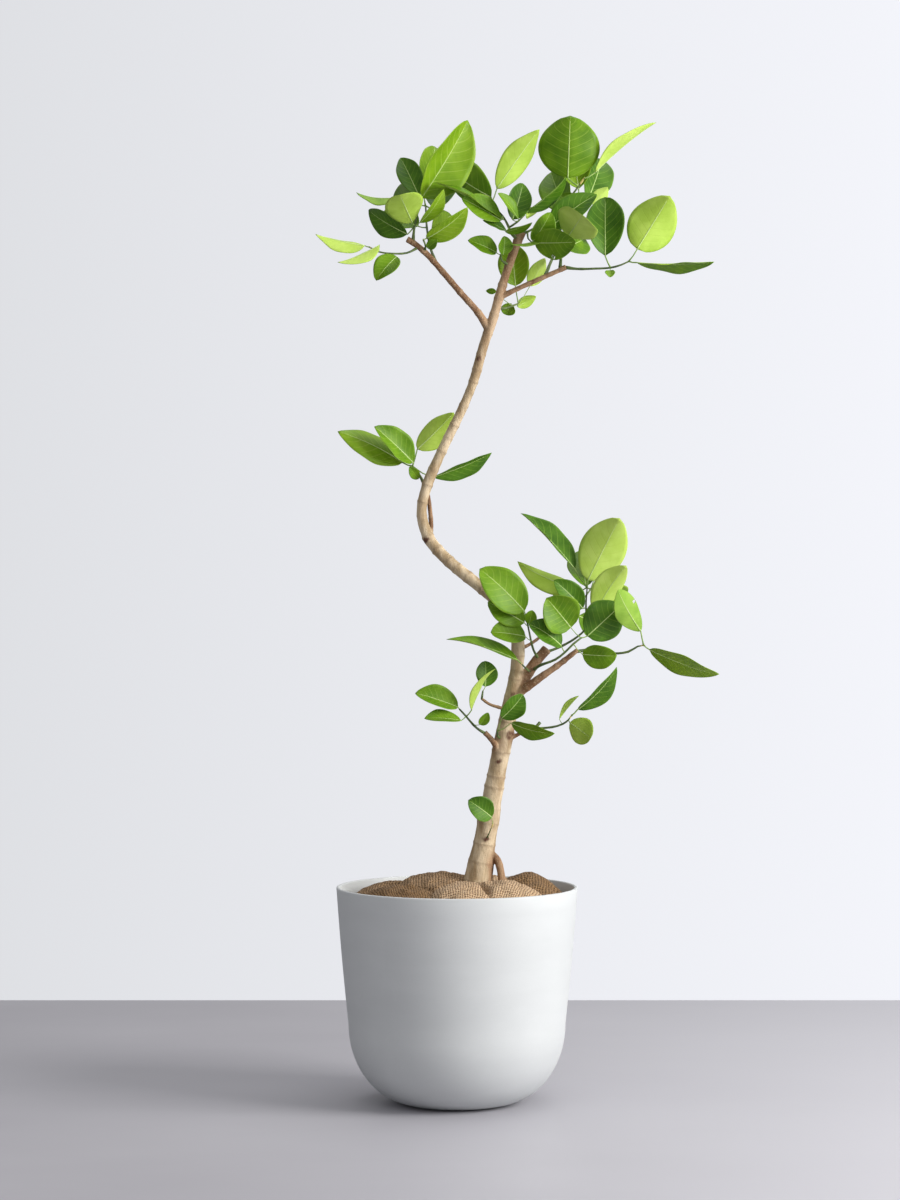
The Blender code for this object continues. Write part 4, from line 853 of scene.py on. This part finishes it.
leafBowls = {  # leaves that are domed (below 0) or nearly flat, against the usual fold
    ("leaves_top_right", 0): -0.7, ("leaves_low_front", 2): -0.7, ("leaves_top_crown", 0): -0.6,
    ("leaves_mid", 0): -0.7,
    ("leaves_top_right", 4): 0.3, ("leaves_top_left", 3): 0.4, ("leaves_low_right", 0): 0.5,
    ("leaves_low_right", 1): 0.3, ("leaves_low_centre", 0): 0.6,
}
leafMarks = {  # torn or brown spots: mass and leaf, then (along, across, size in metres, torn through)
    ("leaves_low_right", 0): (0.50, 0.84, 0.0052, True), ("leaves_top_inner", 2): (0.45, -0.84, 0.0060, True),
}


def outline(t, aspect):  # half the width of a leaf, against its greatest, at t along it
    slim = min(1.0, max(0.0, (0.78 - aspect) / 0.40))
    taper = 1 - (0.05 + 0.15 * slim) * max(0.0, t - 0.70) / 0.30
    return math.sin(math.pi * t ** 0.95) ** (0.56 + 0.20 * slim) * taper


def leafFrame(foot, tip, turn, face):
    along = (tip - foot).normalized()
    toEye = (eye - foot).normalized()
    facing = (toEye - along * toEye.dot(along)).normalized()
    facing = Matrix.Rotation(math.radians(turn), 3, along) @ facing
    upper = facing * face
    return along, upper.cross(along), upper


def leafPlace(leafData, t, side):  # a point of the blade: t from foot to tip, side from -1 to 1 across
    foot, length = leafData["foot"], leafData["length"]
    along, across, upper = leafData["frame"]
    half = leafData["width"] / 2 * outline(t, leafData["width"] / length)
    fold = leafData["fold"]
    cup = 0.50 * abs(side) + 0.50 * side * side
    lift = cup * half * math.sin(fold) * leafData["bowl"] + leafData["arch"] * length * 4 * t * (1 - t)
    ripple = math.sin(math.tau * (leafData["waves"] * t + leafData["phase"] + (0.3 if side > 0 else 0.0)))
    lift += ripple * leafShape["wave"] * half * abs(side) ** 2
    lift += leafData["twist"] * side * half * (t - 0.35)
    lift -= leafData["droop"] * length * max(0.0, t - 0.6) ** 2 * 2
    return foot + along * (length * t) + across * (side * half * math.cos(fold)) + upper * lift


def bladeTemplate():
    deselectAll()
    bpy.ops.mesh.primitive_grid_add(x_subdivisions=leafShape["rows"], y_subdivisions=leafShape["columns"],
                                    size=1.0)
    blank = bpy.context.object
    blank.name = "leafBlank"
    return blank


leafBlank = bladeTemplate()
blades = {"deep": [], "mid": [], "freshAndLit": []}
ribRods, stalkRods, twigRods, budRods = [], [], [], []


def growBlade(name, mass, number, leafData):
    blade = bpy.data.objects.new(name, leafBlank.data.copy())
    scene.collection.objects.link(blade)
    mark = leafMarks.get((mass, number))
    if mark:
        editAll(blade, (bpy.ops.mesh.subdivide, {"number_cuts": 2}))
    for vert in blade.data.vertices:
        t, side = vert.co.x + 0.5, vert.co.y * 2
        vert.co = leafPlace(leafData, min(max(t, 0.0), 1.0), side)
    if mark:
        along, across, size, torn = mark
        spot = leafPlace(leafData, along, across)
        dropFaces(blade, lambda middle: (middle - spot).length < size * 0.62)
        for face in blade.data.polygons:
            if (face.center - spot).length < size * 1.05:
                face.material_index = 2
    tintName = "mid"
    for key, chosen in leafTonesAndLight.items():
        if number in chosen.get(mass, ()):
            tintName = key
    blades[tintName].append(blade)


def nearestPoint(paths, spot):
    return min((point for path in paths for point in path), key=lambda point: (point[0] - spot).length)


for mass, (carrier, twigs, leaves) in masses.items():
    draw = random.Random(leafShape["seed"] + len(mass))
    own = random.Random(leafShape["seed"] * 31 + len(mass) * 7 + len(leaves))
    coarse = [smoothPath(points, 0.026) for points in twigs]
    fine = [smoothPath(points, leafShape["twigStep"]) for points in twigs]
    for number, path in enumerate(fine):
        slimness = leafShape["slimStems"].get(mass, 1.0)
        swollen = [(spot, slimness * radius * (1.0 + 0.16 * max(0.0, math.sin(index * 1.9)) ** 4))
                   for index, (spot, radius) in enumerate(path)]
        twigRods.append(rod(f"{mass}_twig{number}", swollen, 3))
    for number, row in enumerate(leaves):
        foot, tip = seen(*row[:3]), seen(*row[3:6])
        length = (tip - foot).length
        fold = math.radians(draw.uniform(16, 28))
        arch = draw.uniform(0.02, 0.07)
        leafData = {"foot": foot, "length": length, "width": row[6] * cm, "fold": fold, "arch": arch,
                    "frame": leafFrame(foot, tip, row[7], row[8]), "waves": own.uniform(1.1, 2.3),
                    "phase": own.random(), "droop": own.uniform(0.0, 0.10), "twist": own.uniform(-0.45, 0.45),
                    "bowl": own.uniform(0.75, 1.1) * leafBowls.get((mass, number), 1.0)}
        growBlade(f"{mass}_leaf{number}", mass, number, leafData)
        bladeIn = leafPlace(leafData, 0.14, 0.0)
        start = nearestPoint([coarse[0][min(2, len(coarse[0]) - 1):]] + coarse[1:], foot)[0]
        radius = min(0.0011, max(0.0006, (bladeIn - foot).length / 12)) * draw.uniform(0.9, 1.1)
        start = start + Vector([draw.uniform(-0.0003, 0.0003) for _ in range(3)])
        middle = start.lerp(foot, 0.5) + Vector((0, 0, -0.06 * (foot - start).length))
        near = [(start, radius * 1.5), (start.lerp(middle, 0.5), radius * 1.1), (middle, radius)]
        far = [(foot, radius), (leafPlace(leafData, 0.03, 0.0), radius * 0.8)]
        stalkRods.append(rod(f"{mass}_stalk{number}", near + far, 2))
        thick = min(leafShape["ribWide"], leafData["width"] * 0.022)
        rows = leafShape["rows"]
        ribPath = [(leafPlace(leafData, step / rows, 0.0),
                    thick * (1 - 0.72 * step / rows)) for step in range(rows - 1)]
        ribRods.append(rod(f"{mass}_rib{number}", ribPath, 1))

# Buds: a pointed sheath at the tip of each stem.
budShape = {"length": 0.011, "thick": 0.0017}
for mass, (carrier, twigs, leaves) in masses.items():
    path = smoothPath(twigs[0], 0.01)
    tip, radius = path[-1]
    ahead = (tip - path[-2][0]).normalized()
    size = budShape["length"] * (1.6 if mass == "leaves_top_right" else 0.75)
    thick = budShape["thick"] * (1.1 if mass == "leaves_top_right" else 0.8)
    start = tip - ahead * size * 0.75
    budRods.append(rod(mass + "_bud",
                       [(start + ahead * size * s, thick * math.sin(math.pi * (0.18 + 0.8 * s)) ** 0.9)
                                       for s in (0.0, 0.12, 0.25, 0.4, 0.55, 0.7, 0.85, 1.0)], 3))

twigPiece = meshed(twigRods, "youngTwigs")
twigPiece.data.shade_smooth()
stalkPiece = meshed(stalkRods, "leafStalks")
stalkPiece.data.shade_smooth()
ribPiece = meshed(ribRods, "leafRibs")
ribPiece.data.shade_smooth()
budPiece = meshed(budRods, "twigBuds")
budPiece.data.shade_smooth()
leafPieces = {}
for tintName, group in blades.items():
    whole = joined(group, tintName + "Leaves")
    editAll(whole, (bpy.ops.mesh.remove_doubles, {"threshold": 0.00003}))
    leafPieces[tintName] = whole
bpy.data.objects.remove(leafBlank, do_unlink=True)
print("leaves, stalks and twigs grown")

# Shared effect: the net of side veins, drawn on each blade's own map.
veins, veinsIn, veinsOut = newGroup("sideVeins", {"Blade": "Vector", "Pairs": "Float", "Width": "Float"},
                                    {"Vein": "Float", "Quilt": "Float", "Margin": "Float", "Rib": "Float"})
split = veins.nodes.new("ShaderNodeSeparateXYZ")
veins.links.new(veinsIn.outputs["Blade"], split.inputs["Vector"])
fromRib = mathNode(veins, "MULTIPLY", mathNode(veins, "SUBTRACT", split.outputs["Y"], 0.5), 2.0)
out = mathNode(veins, "ABSOLUTE", fromRib)
lean = mathNode(veins, "MULTIPLY_ADD", mathNode(veins, "MULTIPLY", out, out), 0.075,
                mathNode(veins, "MULTIPLY", out, 0.17))
spotAlong = mathNode(veins, "SUBTRACT", split.outputs["X"], lean)
stagger = mathNode(veins, "MULTIPLY", mathNode(veins, "SIGN", fromRib), 0.22)
phase = mathNode(veins, "FRACT", mathNode(veins, "MULTIPLY_ADD", spotAlong, veinsIn.outputs["Pairs"],
                                          stagger))
away = mathNode(veins, "ABSOLUTE", mathNode(veins, "SUBTRACT", phase, 0.5))
thin = mathNode(veins, "MULTIPLY", veinsIn.outputs["Width"], mathNode(veins, "MULTIPLY_ADD", out, -0.55, 1.0))
line = mathNode(veins, "SUBTRACT", 1.0, mathNode(veins, "DIVIDE", away, thin), clamp=True)
line = mathNode(veins, "MULTIPLY", line, ease(veins, out, 0.97, 0.72))
veins.links.new(line, veinsOut.inputs["Vein"])
veins.links.new(mathNode(veins, "SINE", mathNode(veins, "MULTIPLY", phase, math.pi)),
                veinsOut.inputs["Quilt"])
veins.links.new(ease(veins, out, 0.90, 1.0), veinsOut.inputs["Margin"])
veins.links.new(ease(veins, out, 0.035, 0.012), veinsOut.inputs["Rib"])


def leafMaterial(name, dark, light, veinColour, veinShare, roughness, specular, quilt):
    made, tree, surface = newMaterial(name, roughness, specular=specular)
    blade = tree.nodes.new("ShaderNodeTexCoord")
    net = place(tree, veins, Blade=blade.outputs["UV"], Pairs=8.0, Width=0.10)
    fineNet = place(tree, veins, Blade=blade.outputs["UV"], Pairs=34.0, Width=0.30)
    cloudy = speck(tree, objectSpace(tree), 34.0, 3.0)
    fleck = speck(tree, objectSpace(tree), 240.0, 2.0)
    colour = blend(tree, ease(tree, cloudy, 0.32, 0.70), dark, light)
    colour = blend(tree, mathNode(tree, "MULTIPLY", ease(tree, fleck, 0.45, 0.75), 0.20), colour, light)
    colour = blend(tree, mathNode(tree, "MULTIPLY", fineNet.outputs["Vein"], 0.10), colour, veinColour)
    colour = blend(tree, mathNode(tree, "MULTIPLY", net.outputs["Vein"], veinShare), colour, veinColour)
    colour = blend(tree, mathNode(tree, "MULTIPLY", net.outputs["Margin"], 0.35), colour, veinColour)
    colour = blend(tree, mathNode(tree, "MULTIPLY", net.outputs["Rib"], 0.8), colour, veinColour)
    tree.links.new(colour, surface.inputs["Base Color"])
    tree.links.new(mathNode(tree, "MULTIPLY_ADD", cloudy, 0.18, roughness - 0.09),
                   surface.inputs["Roughness"])
    ridges = mathNode(tree, "MULTIPLY_ADD", net.outputs["Quilt"], quilt,
                      mathNode(tree, "MULTIPLY", net.outputs["Vein"], -0.35))
    tree.links.new(relief(tree, ridges, 0.32, 0.0010), surface.inputs["Normal"])
    return made


def plainGrown(name, dark, light, roughness, scale=60.0):  # twigs, stalks, ribs, buds and scars
    made, tree, surface = newMaterial(name, roughness, specular=0.4)
    marks = place(tree, mottle, Where=objectSpace(tree), PatchScale=scale, SpeckScale=scale * 8)
    tree.links.new(blend(tree, ease(tree, marks.outputs["Patch"], 0.35, 0.65), dark, light),
                   surface.inputs["Base Color"])
    tree.links.new(relief(tree, marks.outputs["Speck"], 0.4, 0.0006), surface.inputs["Normal"])
    return made


scar = plainGrown("brownScar", (0.10, 0.035, 0.010, 1), (0.26, 0.12, 0.035, 1), 0.8, 200.0)
leafColours = {  # upper side dark and light, underside dark and light, vein
    "deep": ((0.034, 0.105, 0.003, 1), (0.070, 0.175, 0.006, 1), (0.180, 0.330, 0.035, 1),
             (0.260, 0.420, 0.060, 1),
             (0.230, 0.370, 0.045, 1)),
    "mid": ((0.078, 0.185, 0.003, 1), (0.135, 0.265, 0.006, 1), (0.300, 0.450, 0.050, 1),
            (0.385, 0.540, 0.085, 1),
            (0.290, 0.420, 0.050, 1)),
    "freshAndLit": ((0.130, 0.255, 0.003, 1), (0.190, 0.325, 0.009, 1), (0.385, 0.540, 0.085, 1),
              (0.470, 0.625, 0.130, 1),
              (0.370, 0.490, 0.080, 1)),
}
for tintName, whole in leafPieces.items():
    upDark, upLight, lowDark, lowLight, veinTint = leafColours[tintName]
    whole.data.materials.clear()
    whole.data.materials.append(leafMaterial(tintName + "LeafTop", upDark, upLight, veinTint, 0.50, 0.45,
                                             0.20, 0.12))
    whole.data.materials.append(leafMaterial(tintName + "LeafUnder", lowDark, lowLight, veinTint, 0.40,
                                             0.62, 0.15, -0.10))
    whole.data.materials.append(scar)
    pick(whole)
    wall = whole.modifiers.new("thickness", "SOLIDIFY")
    wall.thickness = leafShape["thickness"]
    wall.offset = 0.0
    wall.material_offset = 1
    bpy.ops.object.modifier_apply(modifier=wall.name)
    whole.data.shade_smooth()
    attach(whole, "root")
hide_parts(*masses)

grown = (
    (twigPiece, plainGrown("greenTwig", (0.050, 0.085, 0.022, 1), (0.125, 0.175, 0.050, 1), 0.55), "bark"),
    (stalkPiece, plainGrown("paleStalk", (0.170, 0.290, 0.060, 1), (0.300, 0.430, 0.110, 1), 0.5), "leaf"),
    (ribPiece, plainGrown("paleRib", (0.380, 0.520, 0.170, 1), (0.500, 0.630, 0.240, 1), 0.5), "leaf"),
    (budPiece, plainGrown("yellowBud", (0.420, 0.330, 0.090, 1), (0.620, 0.520, 0.180, 1), 0.5), "leaf"),
)
for piece, material, slotName in grown:
    piece.data.materials.clear()
    piece.data.materials.append(material)
    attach(piece, "root")
print("leaf finishes set")
